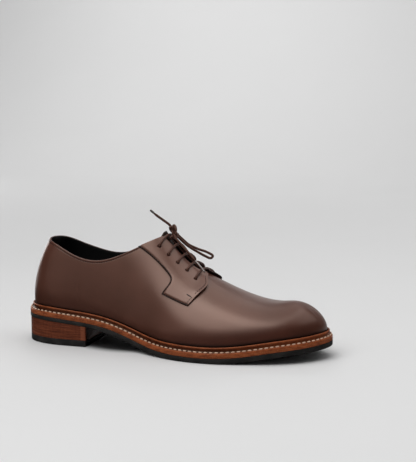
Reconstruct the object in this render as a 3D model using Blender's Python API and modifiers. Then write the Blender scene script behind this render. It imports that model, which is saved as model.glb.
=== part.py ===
"""Plain toe derby, a right shoe, built on the surface of its last.

Metres, +X toward the toe, -Y the lateral side, +Y the medial side, +Z up, standing on z = 0.
"""

from collections import namedtuple

import bmesh
import bpy
import numpy as np

MM = 0.001

# Driving dimensions
GAP = 0.35 * MM                # clearance that neighbouring pieces keep
UPPER_WALL = 1.8 * MM          # leather and lining together
FACING_THICKNESS = 1.3 * MM
TONGUE_THICKNESS = 1.6 * MM
TONGUE_CLEARANCE = 1.3 * MM    # under the upper's inside
TONGUE_RISE = 5.0 * MM         # of its loose top, in the middle of the slit
OUTSOLE_THICKNESS = 4.6 * MM
OUTSOLE_AT_HEEL = 3.4 * MM     # thinned where it runs over the heel
OUTSOLE_TAPER = 20.0 * MM      # length in front of the heel over which it thins
INSOLE_ABOVE_WELT = 0.8 * MM
INSOLE_INSET = 4.3 * MM        # from the feather line, inside the welt
HEEL_BREAST = 65.5 * MM        # from the back of the feather line to the heel's front face
HEEL_INSET = 0.5 * MM          # heel inside the outsole's edge
TOP_LIFT_THICKNESS = 6.2 * MM
THROAT_START = 118.0 * MM      # the slit between the facings, from the back of the feather line
THROAT_END = 177.0 * MM
THROAT_HALF_WIDTH = 7.0 * MM
THROAT_ROUNDING = 6.0 * MM     # length over which the slit closes
LACE_DIAMETER = 2.4 * MM

# Numbers of faces
COLUMNS = 96                   # round the shoe, heel back and toe tip included
UPPER_ROWS = 12
FACING_GRID = (22, 8)          # down the throat, across
TONGUE_GRID = (12, 12)         # along the throat, across
BAR_POINTS = 9                 # along each bar of the lace
KNOT_SEGMENTS = (12, 8)        # round, from end to end

# The last, a row for each station from the heel back to the toe tip, in millimetres.
# along, lateral, medial, feather: the feather line, where upper and welt meet, and its height
# ridge_along, ridge_across, ridge_height: the line over the top, where both sides meet
# swell_lateral, swell_medial, rise: how the wall leaves the feather line, outward and upward
# crown: how flat the top is across the ridge; fan: how far its lines turn along the ridge
# edge: the sole's edge outside the feather line
Station = namedtuple("Station", "along lateral medial feather ridge_along ridge_across ridge_height "
                                "swell_lateral swell_medial rise crown fan edge")
LAST = (
    Station(0.0, 0.0, 0.0, 31.8, 27.5, 0.0, 112.0, 3.8, 3.8, 20.0, 38.0, -1.0, 5.4),
    Station(6.5, 19.5, 19.0, 31.8, 30.5, 0.0, 116.0, 4.2, 4.2, 20.0, 37.0, -0.78, 5.3),
    Station(27.0, 30.5, 29.5, 31.5, 41.0, 0.0, 123.0, 5.0, 5.0, 22.0, 34.0, -0.30, 5.2),
    Station(55.0, 32.0, 30.0, 29.4, 63.0, 0.0, 126.0, 5.0, 5.0, 25.0, 30.0, 0.0, 5.0),
    Station(84.0, 31.5, 26.5, 25.4, 90.0, 0.0, 124.0, 5.0, 5.0, 28.0, 27.0, 0.0, 5.0),
    Station(113.0, 35.0, 25.0, 17.9, 117.0, 0.0, 117.0, 5.0, 6.0, 30.0, 25.0, 0.0, 5.2),
    Station(142.0, 45.0, 27.5, 11.5, 140.0, 0.0, 99.8, 5.0, 6.0, 29.0, 25.0, 0.0, 5.6),
    Station(170.0, 53.0, 33.5, 10.0, 162.0, 0.0, 79.0, 4.5, 5.5, 25.0, 27.0, 0.0, 6.0),
    Station(197.0, 53.5, 40.0, 10.0, 184.0, 0.5, 66.2, 4.0, 4.5, 20.0, 30.5, 0.0, 6.1),
    Station(224.0, 48.0, 42.0, 12.2, 210.0, 1.0, 54.8, 4.0, 4.0, 17.0, 34.0, 0.0, 6.0),
    Station(250.0, 39.5, 39.5, 16.2, 236.0, 2.0, 48.8, 4.0, 4.0, 16.0, 29.0, 0.10, 5.8),
    Station(273.5, 25.0, 28.0, 19.0, 256.5, 3.0, 49.8, 3.5, 3.5, 16.0, 18.0, 0.60, 5.6),
    Station(289.0, -3.0, 3.0, 20.8, 263.5, 3.0, 49.1, 3.0, 3.0, 16.0, 14.0, 1.0, 5.5),
)

# The topline, the collar's height at stations from the heel back forward, in millimetres.
Topline = namedtuple("Topline", "station lateral medial")
TOPLINE = (
    Topline(0.0, 99.8, 99.8),
    Topline(0.07, 99.8, 97.8),
    Topline(0.11, 97.8, 94.8),
    Topline(0.148, 93.8, 90.0),
    Topline(0.183, 88.6, 86.4),
    Topline(0.22, 84.3, 83.6),
    Topline(0.265, 82.6, 82.3),
    Topline(0.31, 85.1, 84.8),
    Topline(0.355, 91.0, 91.0),
    Topline(0.394, 97.0, 97.0),
    Topline(0.43, 101.8, 101.8),
    Topline(0.47, 106.2, 106.2),
    Topline(0.60, 116.0, 116.0),
)

# The facing's outline in the pattern's own measures: station runs from 0 at the heel back to 1
# at the toe tip, climb from 0 at the feather line to 1 at the ridge.
Mark = namedtuple("Mark", "station climb")
FACING_TOP_REAR = 0.392
FACING_TOP_FRONT = 0.462
FACING_THROAT_END = 0.624
FACING_REAR = (Mark(0.441, 0.638), Mark(0.489, 0.624), Mark(0.516, 0.603), Mark(0.522, 0.568),
               Mark(0.509, 0.480), Mark(0.499, 0.424))
FACING_FRONT = (Mark(0.636, 0.880), Mark(0.644, 0.798), Mark(0.616, 0.580), Mark(0.590, 0.447))
EYELETS = (Mark(0.460, 0.765), Mark(0.496, 0.764), Mark(0.531, 0.777), Mark(0.566, 0.786),
           Mark(0.601, 0.763))
EYELET_LEAD = 0.018            # how far the medial eyelets lie in front of the lateral ones
TONGUE_STATIONS = (0.453, 0.690)
TONGUE_CLIMB = 0.76            # of its side edges
TONGUE_LOOSE = (0.25, 0.38)    # shares of its length and half width that rise

# The welt's section, outward from the feather line and up from it, in millimetres;
# EDGE stands for the sole's edge.
EDGE = None
WELT_SECTION = ((-3.7, -5.2), (EDGE, -5.2), (EDGE, -0.6), (3.4, -0.4), (2.9, 2.6), (2.2, 4.3),
                (1.35, 4.3), (0.45, -0.35), (-3.7, -0.35))

# The tied lace, hand-chosen routes in millimetres from the back of the feather line.
KNOT_CENTRE = (141.3, 0.0, 110.2)
KNOT_RADII = (3.0, 4.4, 5.2)
LOOP_ROUTE = ((144.3, 3.2, 105.9), (146.6, 4.8, 103.2), (149.8, 6.8, 99.7), (153.4, 9.2, 96.0),
              (157.8, 12.0, 93.3), (162.4, 14.6, 91.0), (167.0, 17.0, 89.2), (171.0, 18.8, 87.0),
              (173.6, 19.4, 84.6), (172.4, 18.6, 83.0), (168.8, 16.6, 84.0), (165.0, 14.2, 86.4),
              (161.4, 11.6, 89.1), (157.8, 9.0, 91.8), (154.2, 6.4, 94.8), (150.2, 3.8, 98.8),
              (147.2, 1.8, 102.4), (145.0, 0.2, 105.0))
END_UP_ROUTE = ((137.6, -0.6, 115.4), (134.6, -1.6, 118.0), (131.0, -3.2, 120.9), (127.4, -5.2, 123.9),
                (124.2, -7.6, 127.2), (121.6, -10.0, 130.4))
END_DOWN_ROUTE = ((144.6, -3.4, 103.8), (147.4, -3.8, 101.0), (150.8, -4.2, 97.8), (154.6, -4.8, 94.2),
                  (160.2, -5.8, 89.0), (166.2, -7.4, 83.5), (171.6, -9.2, 78.9), (176.4, -10.8, 74.0))

# Colours, linear red, green and blue, with a roughness for each finish
BROWN_LEATHER = ((0.085, 0.040, 0.030), 0.45)
DARK_LEATHER = ((0.030, 0.016, 0.013), 0.50)
TAN_LEATHER = ((0.190, 0.065, 0.028), 0.50)
STACKED_LEATHER = ((0.085, 0.026, 0.016), 0.45)
BLACK_RUBBER = ((0.016, 0.014, 0.013), 0.65)
INSOLE_LEATHER = ((0.012, 0.010, 0.010), 0.70)
LACE_CORD = ((0.024, 0.013, 0.010), 0.55)


def spline(knots, values, period=0.0):
    """Cubic curve through the values at the knots, closed where a period is given."""
    knots = np.asarray(knots, float)
    values = np.asarray(values, float)
    if period:
        knots = np.append(knots, knots[0] + period)
        values = np.concatenate([values, values[:1]])
    last = len(knots) - 1
    step = np.diff(knots)
    slope = np.diff(values, axis=0) / step[:, None]
    system = np.eye(last + 1)
    load = np.zeros_like(values)
    for i in range(1, last):
        system[i, i - 1:i + 2] = step[i - 1], 2 * (step[i - 1] + step[i]), step[i]
        load[i] = 6 * (slope[i] - slope[i - 1])
    if period:
        system[0, last] = -1.0
        system[last, [0, 1, last - 1, last]] = 2 * step[0], step[0], step[-1], 2 * step[-1]
        load[last] = 6 * (slope[0] - slope[-1])
    bend = np.linalg.solve(system, load)

    def curve(place):
        if period:
            place = np.mod(place, period)
        k = np.clip(np.searchsorted(knots, place, side="right") - 1, 0, last - 1)
        width = step[k][..., None]
        ahead = (place - knots[k])[..., None] / width
        behind = 1 - ahead
        bulge = (behind**3 - behind) * bend[k] + (ahead**3 - ahead) * bend[k + 1]
        return behind * values[k] + ahead * values[k + 1] + width**2 / 6 * bulge

    return curve


# Columns of the last's curve
FOOT = slice(0, 3)             # a point of the feather line: along, across and its height
ALONG, FEATHER = 0, 2
RIDGE = slice(3, 6)            # a point of the line over the top
RIDGE_ACROSS = slice(4, 5)
SWELL, RISE, CROWN, SOLE_EDGE, FAN = range(6, 11)


def last_columns():
    """Closed curve through the stations: down the lateral side to the toe, back up the medial side."""
    def row(station, across, swell):
        lengths = (station.along, across, station.feather, station.ridge_along, station.ridge_across,
                   station.ridge_height, swell, station.rise, station.crown, station.edge)
        return [length * MM for length in lengths] + [station.fan]

    lateral = [row(station, -station.lateral, station.swell_lateral) for station in LAST]
    medial = [row(station, station.medial, station.swell_medial) for station in LAST]
    lateral_steps = np.linalg.norm(np.diff(np.array(lateral)[:, :2], axis=0), axis=1)
    medial_steps = np.linalg.norm(np.diff(np.array(medial)[:, :2], axis=0), axis=1)
    place = np.concatenate([[0.0], np.cumsum(lateral_steps + medial_steps)])
    place *= 0.5 / place[-1]
    return spline(np.concatenate([place, 1 - place[-2:0:-1]]), lateral + medial[-2:0:-1], period=1.0)


LAST_CURVE = last_columns()


def outward(turn):
    """Level direction away from the shoe at a place round the feather line."""
    nudge = 0.001
    along = LAST_CURVE(turn + nudge)[..., :2] - LAST_CURVE(turn - nudge)[..., :2]
    along /= np.linalg.norm(along, axis=-1, keepdims=True)
    return np.stack([along[..., 1], -along[..., 0]], axis=-1)


def outline(turn, reach):
    """Places round the shoe at a reach outside the feather line, as x and y."""
    return LAST_CURVE(turn)[..., :2] + outward(turn) * np.asarray(reach)[..., None]


def last_surface(turn, climb):
    """Points of the last: turn is the place round the feather line, climb the way up to the ridge.

    Each line is a cubic curve from the feather line, out and up by swell and rise, over to the
    ridge, where it ends level across the ridge or, by fan, along it.
    """
    turn, climb = np.broadcast_arrays(np.asarray(turn, float), np.asarray(climb, float))
    columns = LAST_CURVE(turn)
    foot, ridge = columns[..., FOOT], columns[..., RIDGE]
    swell, rise, crown = columns[..., SWELL], columns[..., RISE], columns[..., CROWN]
    fan = np.clip(columns[..., FAN], -1.0, 1.0)
    lateral = np.mod(turn, 1.0) < 0.5
    nudge, tip = 0.002, 0.012
    half = np.clip(np.where(lateral, np.mod(turn, 1.0), 1 - np.mod(turn, 1.0)), tip, 0.5 - tip)
    forward = LAST_CURVE(half + nudge)[..., RIDGE] - LAST_CURVE(half - nudge)[..., RIDGE]
    forward /= np.linalg.norm(forward, axis=-1, keepdims=True)
    wall = foot + np.concatenate([outward(turn) * swell[..., None], rise[..., None]], axis=-1)
    shoulder = ridge + forward * (crown * fan)[..., None]
    shoulder[..., 1] += np.where(lateral, -1.0, 1.0) * crown * np.sqrt(1 - fan**2)
    up = climb[..., None]
    down = 1 - up
    return down**3 * foot + 3 * down**2 * up * wall + 3 * down * up**2 * shoulder + up**3 * ridge


def last_offset(turn, climb, distance):
    """Points at a distance outside the last's surface, inside it where negative."""
    nudge = 0.002
    climb = np.asarray(climb, float)
    high = np.minimum(climb + nudge, 1.0)
    around = last_surface(turn + nudge, climb) - last_surface(turn - nudge, climb)
    upward = last_surface(turn, high) - last_surface(turn, high - 2 * nudge)
    normal = np.cross(around, upward)
    normal /= np.linalg.norm(normal, axis=-1, keepdims=True)
    return last_surface(turn, climb) + normal * distance


def topline_curve():
    """Closed curve of the collar's height round the shoe."""
    place = np.array([row.station / 2 for row in TOPLINE])
    heights = [row.lateral for row in TOPLINE] + [row.medial for row in TOPLINE[:0:-1]]
    return spline(np.concatenate([place, 1 - place[:0:-1]]), np.array(heights)[:, None] * MM, period=1.0)


TOPLINE_CURVE = topline_curve()


def edge_climb(turn):
    """How far up the last the upper reaches: to the topline, to the slit at the throat, or to the ridge."""
    samples = 401
    climb = np.linspace(0.0, 1.0, samples)
    turn = np.asarray(turn, float)
    points = last_surface(turn[..., None], climb)
    along = points[..., 0]
    below_topline = TOPLINE_CURVE(turn) - points[..., 2]
    closing = np.clip((THROAT_END - along) / THROAT_ROUNDING, 0.0, 1.0)
    in_throat = (along > THROAT_START) & (along < THROAT_END)
    half_slit = np.where(in_throat, THROAT_HALF_WIDTH * np.sqrt(closing), -MM)
    beside_slit = np.abs(points[..., 1] - LAST_CURVE(turn)[..., RIDGE_ACROSS]) - half_slit
    room = np.where(along < THROAT_END, np.minimum(below_topline, beside_slit), MM)
    cut = room < 0
    first = np.maximum(cut.argmax(axis=-1), 1)[..., None]
    over = np.take_along_axis(room, first, axis=-1)[..., 0]
    under = np.take_along_axis(room, first - 1, axis=-1)[..., 0]
    share = under / np.where(cut.any(axis=-1), under - over, 1.0)
    return np.where(cut.any(axis=-1), (first[..., 0] - 1 + share) / (samples - 1), 1.0)


def centre_of_sole():
    """Middle of the sole's outline, which becomes the origin of the part."""
    samples = 1200
    turn = np.linspace(0.0, 1.0, samples, endpoint=False)
    places = outline(turn, LAST_CURVE(turn)[..., SOLE_EDGE])
    return np.append((places.min(axis=0) + places.max(axis=0)) / 2, 0.0)


CENTRE = centre_of_sole()


def finish(name, finish_of, mesh, modifiers=()):
    """Object with a mesh or curve, its own material and its modifiers, in the shoe's collection."""
    colour, roughness = finish_of
    material = bpy.data.materials.new(name)
    material.use_nodes = True
    shader = material.node_tree.nodes["Principled BSDF"]
    shader.inputs["Base Color"].default_value = (*colour, 1.0)
    shader.inputs["Roughness"].default_value = roughness
    shader.inputs["Metallic"].default_value = 0.0
    mesh.materials.append(material)
    piece = bpy.data.objects.new(name, mesh)
    piece.parent = ORIGIN
    SHOE.objects.link(piece)
    for kind, settings in modifiers:
        modifier = piece.modifiers.new(kind.title(), kind)
        for setting, value in settings.items():
            setattr(modifier, setting, value)
    return piece


def loft(name, finish_of, sections, round_section, round_path, capped=False, modifiers=()):
    """Skin over a grid of sections, closed round each section, round the path or with end caps.

    An open sheet faces the way that path and section give by the right hand.
    """
    sections = np.asarray(sections) - CENTRE
    count, size = sections.shape[:2]
    form = bmesh.new()
    grid = [[form.verts.new(point) for point in section] for section in sections]
    for i in range(count if round_path else count - 1):
        for j in range(size if round_section else size - 1):
            here, there = grid[i], grid[(i + 1) % count]
            form.faces.new((here[j], there[j], there[(j + 1) % size], here[(j + 1) % size]))
    if capped:
        form.faces.new(grid[0])
        form.faces.new(reversed(grid[-1]))
    bmesh.ops.remove_doubles(form, verts=form.verts, dist=0.02 * MM)
    bmesh.ops.dissolve_degenerate(form, edges=form.edges, dist=0.01 * MM)
    if round_section:
        bmesh.ops.recalc_face_normals(form, faces=form.faces)
    mesh = bpy.data.meshes.new(name)
    form.to_mesh(mesh)
    form.free()
    mesh.shade_smooth()
    mesh.set_sharp_from_angle(angle=np.radians(35.0))
    return finish(name, finish_of, mesh, modifiers)


def upper():
    """One piece of leather over the last, open at the collar, throat and underneath."""
    turn = np.linspace(0.0, 1.0, COLUMNS, endpoint=False)
    climb = edge_climb(turn)[:, None] * np.linspace(0.0, 1.0, UPPER_ROWS + 1)
    loft("upper", BROWN_LEATHER, last_surface(turn[:, None], climb), False, True,
         modifiers=[("SOLIDIFY", {"thickness": UPPER_WALL, "offset": -1.0, "use_even_offset": True})])


def facing_curve(marks, count):
    """Evenly spaced places along a smooth line through marks of the pattern."""
    marks = np.array(marks)
    drawn = np.cumsum(np.linalg.norm(np.diff(marks, axis=0, prepend=marks[:1]), axis=1))
    return spline(drawn / drawn[-1], marks)(np.linspace(0.0, 1.0, count))


def facing(name, medial):
    """Overlay beside the throat: collar edge above, throat edge and tab in front, seam behind."""
    down, across = FACING_GRID

    def on_side(station):
        half = np.asarray(station) / 2
        return 1 - half if medial else half

    def upper_edge(stations):
        return [Mark(station, float(edge_climb(on_side(station)))) for station in stations]

    rear = facing_curve([*upper_edge([FACING_TOP_REAR]), *FACING_REAR], down + 1)
    throat = upper_edge(np.linspace(FACING_TOP_FRONT, FACING_THROAT_END, len(EYELETS) + 1))
    front = facing_curve([*throat, *FACING_FRONT], down + 1)
    share = np.linspace(0.0, 1.0, across + 1)[:, None]
    pattern = rear[:, None] * (1 - share) + front[:, None] * share
    top = np.linspace(FACING_TOP_REAR, FACING_TOP_FRONT, across + 1)
    collar_dip = edge_climb(on_side(top)) - pattern[0, :, 1]
    collar_share = 0.25
    fade = np.clip(1 - np.linspace(0.0, 1.0, down + 1) / collar_share, 0.0, 1.0)
    pattern[..., 1] += fade[:, None] * collar_dip
    points = last_offset(on_side(pattern[..., 0]), pattern[..., 1], GAP)
    loft(name, BROWN_LEATHER, points[::-1] if medial else points, False, False,
         modifiers=[("SOLIDIFY", {"thickness": FACING_THICKNESS, "offset": 1.0})])


def tongue():
    """Strip under the throat, from behind the vamp to just above the facings, where it comes up loose."""
    along, across = TONGUE_GRID
    station = np.linspace(*TONGUE_STATIONS, along + 1)[:, None]
    way = np.linspace(0.0, 1.0, along + 1)[:, None]
    share = np.linspace(-1.0, 1.0, across + 1)
    climb = 1 - np.abs(share) * (1 - TONGUE_CLIMB)
    turn = np.where(share < 0, station / 2, 1 - station / 2)
    loose_length, loose_width = TONGUE_LOOSE
    loose = np.clip(1 - way / loose_length, 0.0, 1.0) * np.clip(1 - (share / loose_width)**2, 0.0, 1.0)
    lift = TONGUE_RISE * loose**2 - UPPER_WALL - TONGUE_CLEARANCE
    points = last_offset(turn, climb + 0 * station, lift[..., None])
    loft("tongue", DARK_LEATHER, points, False, False,
         modifiers=[("SOLIDIFY", {"thickness": TONGUE_THICKNESS, "offset": -1.0})])


def welt():
    """Strip all round: a ridge against the upper, a groove and a flat edge."""
    turn = np.linspace(0.0, 1.0, COLUMNS, endpoint=False)
    columns = LAST_CURVE(turn)
    section = []
    for reach, lift in WELT_SECTION:
        out = columns[:, SOLE_EDGE] if reach is EDGE else np.full(COLUMNS, reach * MM)
        section.append(np.column_stack([outline(turn, out), columns[:, FEATHER] + lift * MM]))
    loft("welt", TAN_LEATHER, np.stack(section, axis=1), True, True)


def plate(name, finish_of, reach, top, bottom, breast=None):
    """Slab inside an outline, from its back end to the toe tip or to a straight breast."""
    half = np.linspace(0.0, 0.5, COLUMNS // 2 + 1)
    columns = LAST_CURVE(half)
    sides = [outline(half, reach(columns)), outline(1 - half, reach(columns))]
    heights = np.column_stack([top(columns), bottom(columns)])
    if breast is not None:
        kept = np.minimum(sides[0][:, 0], sides[1][:, 0]) < breast - MM
        stop = np.interp(breast, columns[:, ALONG], half)
        corners = [(breast, np.interp(breast, side[:, 0], side[:, 1])) for side in sides]
        sides = [np.vstack([side[kept], corner]) for side, corner in zip(sides, corners)]
        last = LAST_CURVE(np.array([stop]))
        heights = np.vstack([heights[kept], np.column_stack([top(last), bottom(last)])])
    (lateral, medial), (above, below) = sides, heights.T
    sections = np.stack([np.column_stack([lateral, above]), np.column_stack([lateral, below]),
                         np.column_stack([medial, below]), np.column_stack([medial, above])], axis=1)
    loft(name, finish_of, sections, True, False, capped=True)


def welt_bottom(columns):
    """Height of the welt's lower face."""
    return columns[:, FEATHER] + WELT_SECTION[0][1] * MM


def outsole_bottom(columns):
    """Height of the outsole's lower face, thinner over the heel and flat on the ground at the ball."""
    thickness = np.interp(columns[:, ALONG], (HEEL_BREAST, HEEL_BREAST + OUTSOLE_TAPER),
                          (OUTSOLE_AT_HEEL, OUTSOLE_THICKNESS))
    return np.maximum(welt_bottom(columns) - GAP - thickness, 0.0)


def sole():
    """Insole, outsole, stacked heel and top lift, each a slab inside its own outline."""
    plate("insole", INSOLE_LEATHER, lambda columns: np.full(len(columns), -INSOLE_INSET),
          lambda columns: columns[:, FEATHER] + INSOLE_ABOVE_WELT, welt_bottom)
    plate("outsole", BLACK_RUBBER, lambda columns: columns[:, SOLE_EDGE],
          lambda columns: welt_bottom(columns) - GAP, outsole_bottom)
    plate("heel_stack", STACKED_LEATHER, lambda columns: columns[:, SOLE_EDGE] - HEEL_INSET,
          lambda columns: outsole_bottom(columns) - GAP,
          lambda columns: np.full(len(columns), TOP_LIFT_THICKNESS + GAP), HEEL_BREAST)
    plate("heel_top_lift", BLACK_RUBBER, lambda columns: columns[:, SOLE_EDGE] - HEEL_INSET,
          lambda columns: np.full(len(columns), TOP_LIFT_THICKNESS),
          lambda columns: np.zeros(len(columns)), HEEL_BREAST)


def cord(name, route, count):
    """Round tube along a smooth curve through a route's points."""
    route = np.asarray(route) - CENTRE
    drawn = np.cumsum(np.linalg.norm(np.diff(route, axis=0, prepend=route[:1]), axis=1))
    points = spline(drawn / drawn[-1], route)(np.linspace(0.0, 1.0, count))
    curve = bpy.data.curves.new(name, "CURVE")
    curve.dimensions = "3D"
    curve.bevel_depth = LACE_DIAMETER / 2
    curve.bevel_resolution = 2
    curve.use_fill_caps = True
    line = curve.splines.new("POLY")
    line.points.add(count - 1)
    for place, point in zip(line.points, points):
        place.co = (*point, 1.0)
    finish(name, LACE_CORD, curve)


def lace():
    """Five bars over the throat, a knot, a loop and two ends."""
    lift = 2 * GAP + FACING_THICKNESS + LACE_DIAMETER / 2
    for number, eyelet in enumerate(EYELETS, start=1):
        share = np.linspace(-1.0, 1.0, BAR_POINTS)
        climb = 1 - np.abs(share) * (1 - eyelet.climb)
        station = eyelet.station + EYELET_LEAD * (1 + share) / 2
        turn = np.where(share < 0, station / 2, 1 - station / 2)
        cord(f"lace_bar_{number}", last_offset(turn, climb, lift), BAR_POINTS)
    form = bmesh.new()
    around, along = KNOT_SEGMENTS
    bmesh.ops.create_uvsphere(form, u_segments=around, v_segments=along, radius=1.0)
    bmesh.ops.scale(form, verts=form.verts, vec=np.array(KNOT_RADII) * MM)
    bmesh.ops.translate(form, verts=form.verts, vec=np.array(KNOT_CENTRE) * MM - CENTRE)
    knot = bpy.data.meshes.new("lace_knot")
    form.to_mesh(knot)
    form.free()
    knot.shade_smooth()
    finish("lace_knot", LACE_CORD, knot)
    for name, route, count in (("lace_loop", LOOP_ROUTE, 26), ("lace_end_up", END_UP_ROUTE, 7),
                               ("lace_end_down", END_DOWN_ROUTE, 9)):
        cord(name, np.array(route) * MM, count)


for leftover in list(bpy.data.objects):
    bpy.data.objects.remove(leftover)
SHOE = bpy.data.collections.new("plain_toe_derby")
bpy.context.scene.collection.children.link(SHOE)
ORIGIN = bpy.data.objects.new("shoe_origin", None)
SHOE.objects.link(ORIGIN)

sole()
welt()
upper()
tongue()
facing("facing_lateral", medial=False)
facing("facing_medial", medial=True)
lace()
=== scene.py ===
"""Looks of the plain toe derby, a right shoe: every piece is shaped on the last that the shoe is made on.

Metres, +X toward the toe, -Y the lateral side, +Y the medial side, +Z up, standing on z = 0.
"""

from collections import namedtuple

import bmesh
import bpy
import numpy as np
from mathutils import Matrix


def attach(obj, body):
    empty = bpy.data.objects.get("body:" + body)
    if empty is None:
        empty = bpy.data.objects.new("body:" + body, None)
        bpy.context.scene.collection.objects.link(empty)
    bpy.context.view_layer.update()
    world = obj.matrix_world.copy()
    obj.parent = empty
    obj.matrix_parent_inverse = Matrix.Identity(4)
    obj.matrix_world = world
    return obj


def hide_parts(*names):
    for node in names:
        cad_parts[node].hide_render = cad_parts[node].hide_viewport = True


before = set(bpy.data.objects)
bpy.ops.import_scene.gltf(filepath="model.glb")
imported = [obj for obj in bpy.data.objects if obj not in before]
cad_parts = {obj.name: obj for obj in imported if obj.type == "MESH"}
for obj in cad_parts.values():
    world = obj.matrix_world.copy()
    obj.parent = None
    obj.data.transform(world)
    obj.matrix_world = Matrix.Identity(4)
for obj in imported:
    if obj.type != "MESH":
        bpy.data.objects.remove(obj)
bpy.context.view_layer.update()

# The last: the wooden form that the upper is pulled over and the sole is built on. It isn't a piece of
# the shoe, but its feather line, where upper and welt meet, and its surface place every piece below.
# Lengths in the tables are millimetres from the back of the feather line.
MM = 0.001
Station = namedtuple("Station", "along lateral medial feather ridge_along ridge_across ridge_height "
                                "swell_lateral swell_medial rise crown fan edge")
LAST = (
    Station(0.0, 0.0, 0.0, 31.8, 27.5, 0.0, 112.0, 3.8, 3.8, 20.0, 38.0, -1.0, 5.4),
    Station(6.5, 19.5, 19.0, 31.8, 30.5, 0.0, 116.0, 4.2, 4.2, 20.0, 37.0, -0.78, 5.3),
    Station(27.0, 30.5, 29.5, 31.5, 41.0, 0.0, 123.0, 5.0, 5.0, 22.0, 34.0, -0.30, 5.2),
    Station(55.0, 32.0, 30.0, 29.4, 63.0, 0.0, 126.0, 5.0, 5.0, 25.0, 30.0, 0.0, 5.0),
    Station(84.0, 31.5, 26.5, 25.4, 90.0, 0.0, 124.0, 5.0, 5.0, 28.0, 27.0, 0.0, 5.0),
    Station(113.0, 35.0, 25.0, 17.9, 117.0, 0.0, 117.0, 5.0, 6.0, 30.0, 25.0, 0.0, 5.2),
    Station(142.0, 45.0, 27.5, 11.5, 140.0, 0.0, 99.8, 5.0, 6.0, 29.0, 25.0, 0.0, 5.6),
    Station(170.0, 53.0, 33.5, 10.0, 162.0, 0.0, 79.0, 4.5, 5.5, 25.0, 27.0, 0.0, 6.0),
    Station(197.0, 53.5, 40.0, 10.0, 184.0, 0.5, 66.2, 4.0, 4.5, 20.0, 30.5, 0.0, 6.1),
    Station(224.0, 48.0, 42.0, 12.2, 210.0, 1.0, 54.8, 4.0, 4.0, 17.0, 34.0, 0.0, 6.0),
    Station(250.0, 39.5, 39.5, 16.2, 236.0, 2.0, 48.8, 4.0, 4.0, 16.0, 29.0, 0.10, 5.8),
    Station(273.5, 25.0, 28.0, 19.0, 256.5, 3.0, 49.8, 3.5, 3.5, 16.0, 18.0, 0.60, 5.6),
    Station(289.0, -3.0, 3.0, 20.8, 263.5, 3.0, 49.1, 3.0, 3.0, 16.0, 14.0, 1.0, 5.5),
)
FOOT = slice(0, 3)             # a point of the feather line: along, across and its height
ALONG, FEATHER = 0, 2
RIDGE = slice(3, 6)            # a point of the line over the top, where both sides meet
RIDGE_ACROSS = slice(4, 5)
SWELL, RISE, CROWN, SOLE_EDGE, FAN = range(6, 11)


def spline(knots, values, period=0.0):
    """Cubic curve through the values at the knots, closed where a period is given."""
    knots = np.asarray(knots, float)
    values = np.asarray(values, float)
    if period:
        knots = np.append(knots, knots[0] + period)
        values = np.concatenate([values, values[:1]])
    last = len(knots) - 1
    step = np.diff(knots)
    slope = np.diff(values, axis=0) / step[:, None]
    system = np.eye(last + 1)
    load = np.zeros_like(values)
    for i in range(1, last):
        system[i, i - 1:i + 2] = step[i - 1], 2 * (step[i - 1] + step[i]), step[i]
        load[i] = 6 * (slope[i] - slope[i - 1])
    if period:
        system[0, last] = -1.0
        system[last, [0, 1, last - 1, last]] = 2 * step[0], step[0], step[-1], 2 * step[-1]
        load[last] = 6 * (slope[0] - slope[-1])
    bend = np.linalg.solve(system, load)

    def curve(place):
        if period:
            place = np.mod(place, period)
        k = np.clip(np.searchsorted(knots, place, side="right") - 1, 0, last - 1)
        width = step[k][..., None]
        ahead = (place - knots[k])[..., None] / width
        behind = 1 - ahead
        bulge = (behind**3 - behind) * bend[k] + (ahead**3 - ahead) * bend[k + 1]
        return behind * values[k] + ahead * values[k + 1] + width**2 / 6 * bulge

    return curve


def last_columns():
    """Closed curve through the stations: down the lateral side to the toe, back up the medial side."""
    def row(station, across, swell):
        lengths = (station.along, across, station.feather, station.ridge_along, station.ridge_across,
                   station.ridge_height, swell, station.rise, station.crown, station.edge)
        return [length * MM for length in lengths] + [station.fan]

    lateral = [row(station, -station.lateral, station.swell_lateral) for station in LAST]
    medial = [row(station, station.medial, station.swell_medial) for station in LAST]
    lateral_steps = np.linalg.norm(np.diff(np.array(lateral)[:, :2], axis=0), axis=1)
    medial_steps = np.linalg.norm(np.diff(np.array(medial)[:, :2], axis=0), axis=1)
    place = np.concatenate([[0.0], np.cumsum(lateral_steps + medial_steps)])
    place *= 0.5 / place[-1]
    return spline(np.concatenate([place, 1 - place[-2:0:-1]]), lateral + medial[-2:0:-1], period=1.0)


LAST_CURVE = last_columns()


def unit(vectors):
    """Vectors scaled to a length of one."""
    return vectors / np.linalg.norm(vectors, axis=-1, keepdims=True)


def outward(turn):
    """Level direction away from the shoe at a place round the feather line."""
    nudge = 0.001
    along = unit(LAST_CURVE(turn + nudge)[..., :2] - LAST_CURVE(turn - nudge)[..., :2])
    return np.stack([along[..., 1], -along[..., 0]], axis=-1)


def outline(turn, reach):
    """Places round the shoe at a reach outside the feather line, as x and y."""
    return LAST_CURVE(turn)[..., :2] + outward(turn) * np.asarray(reach)[..., None]


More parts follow.
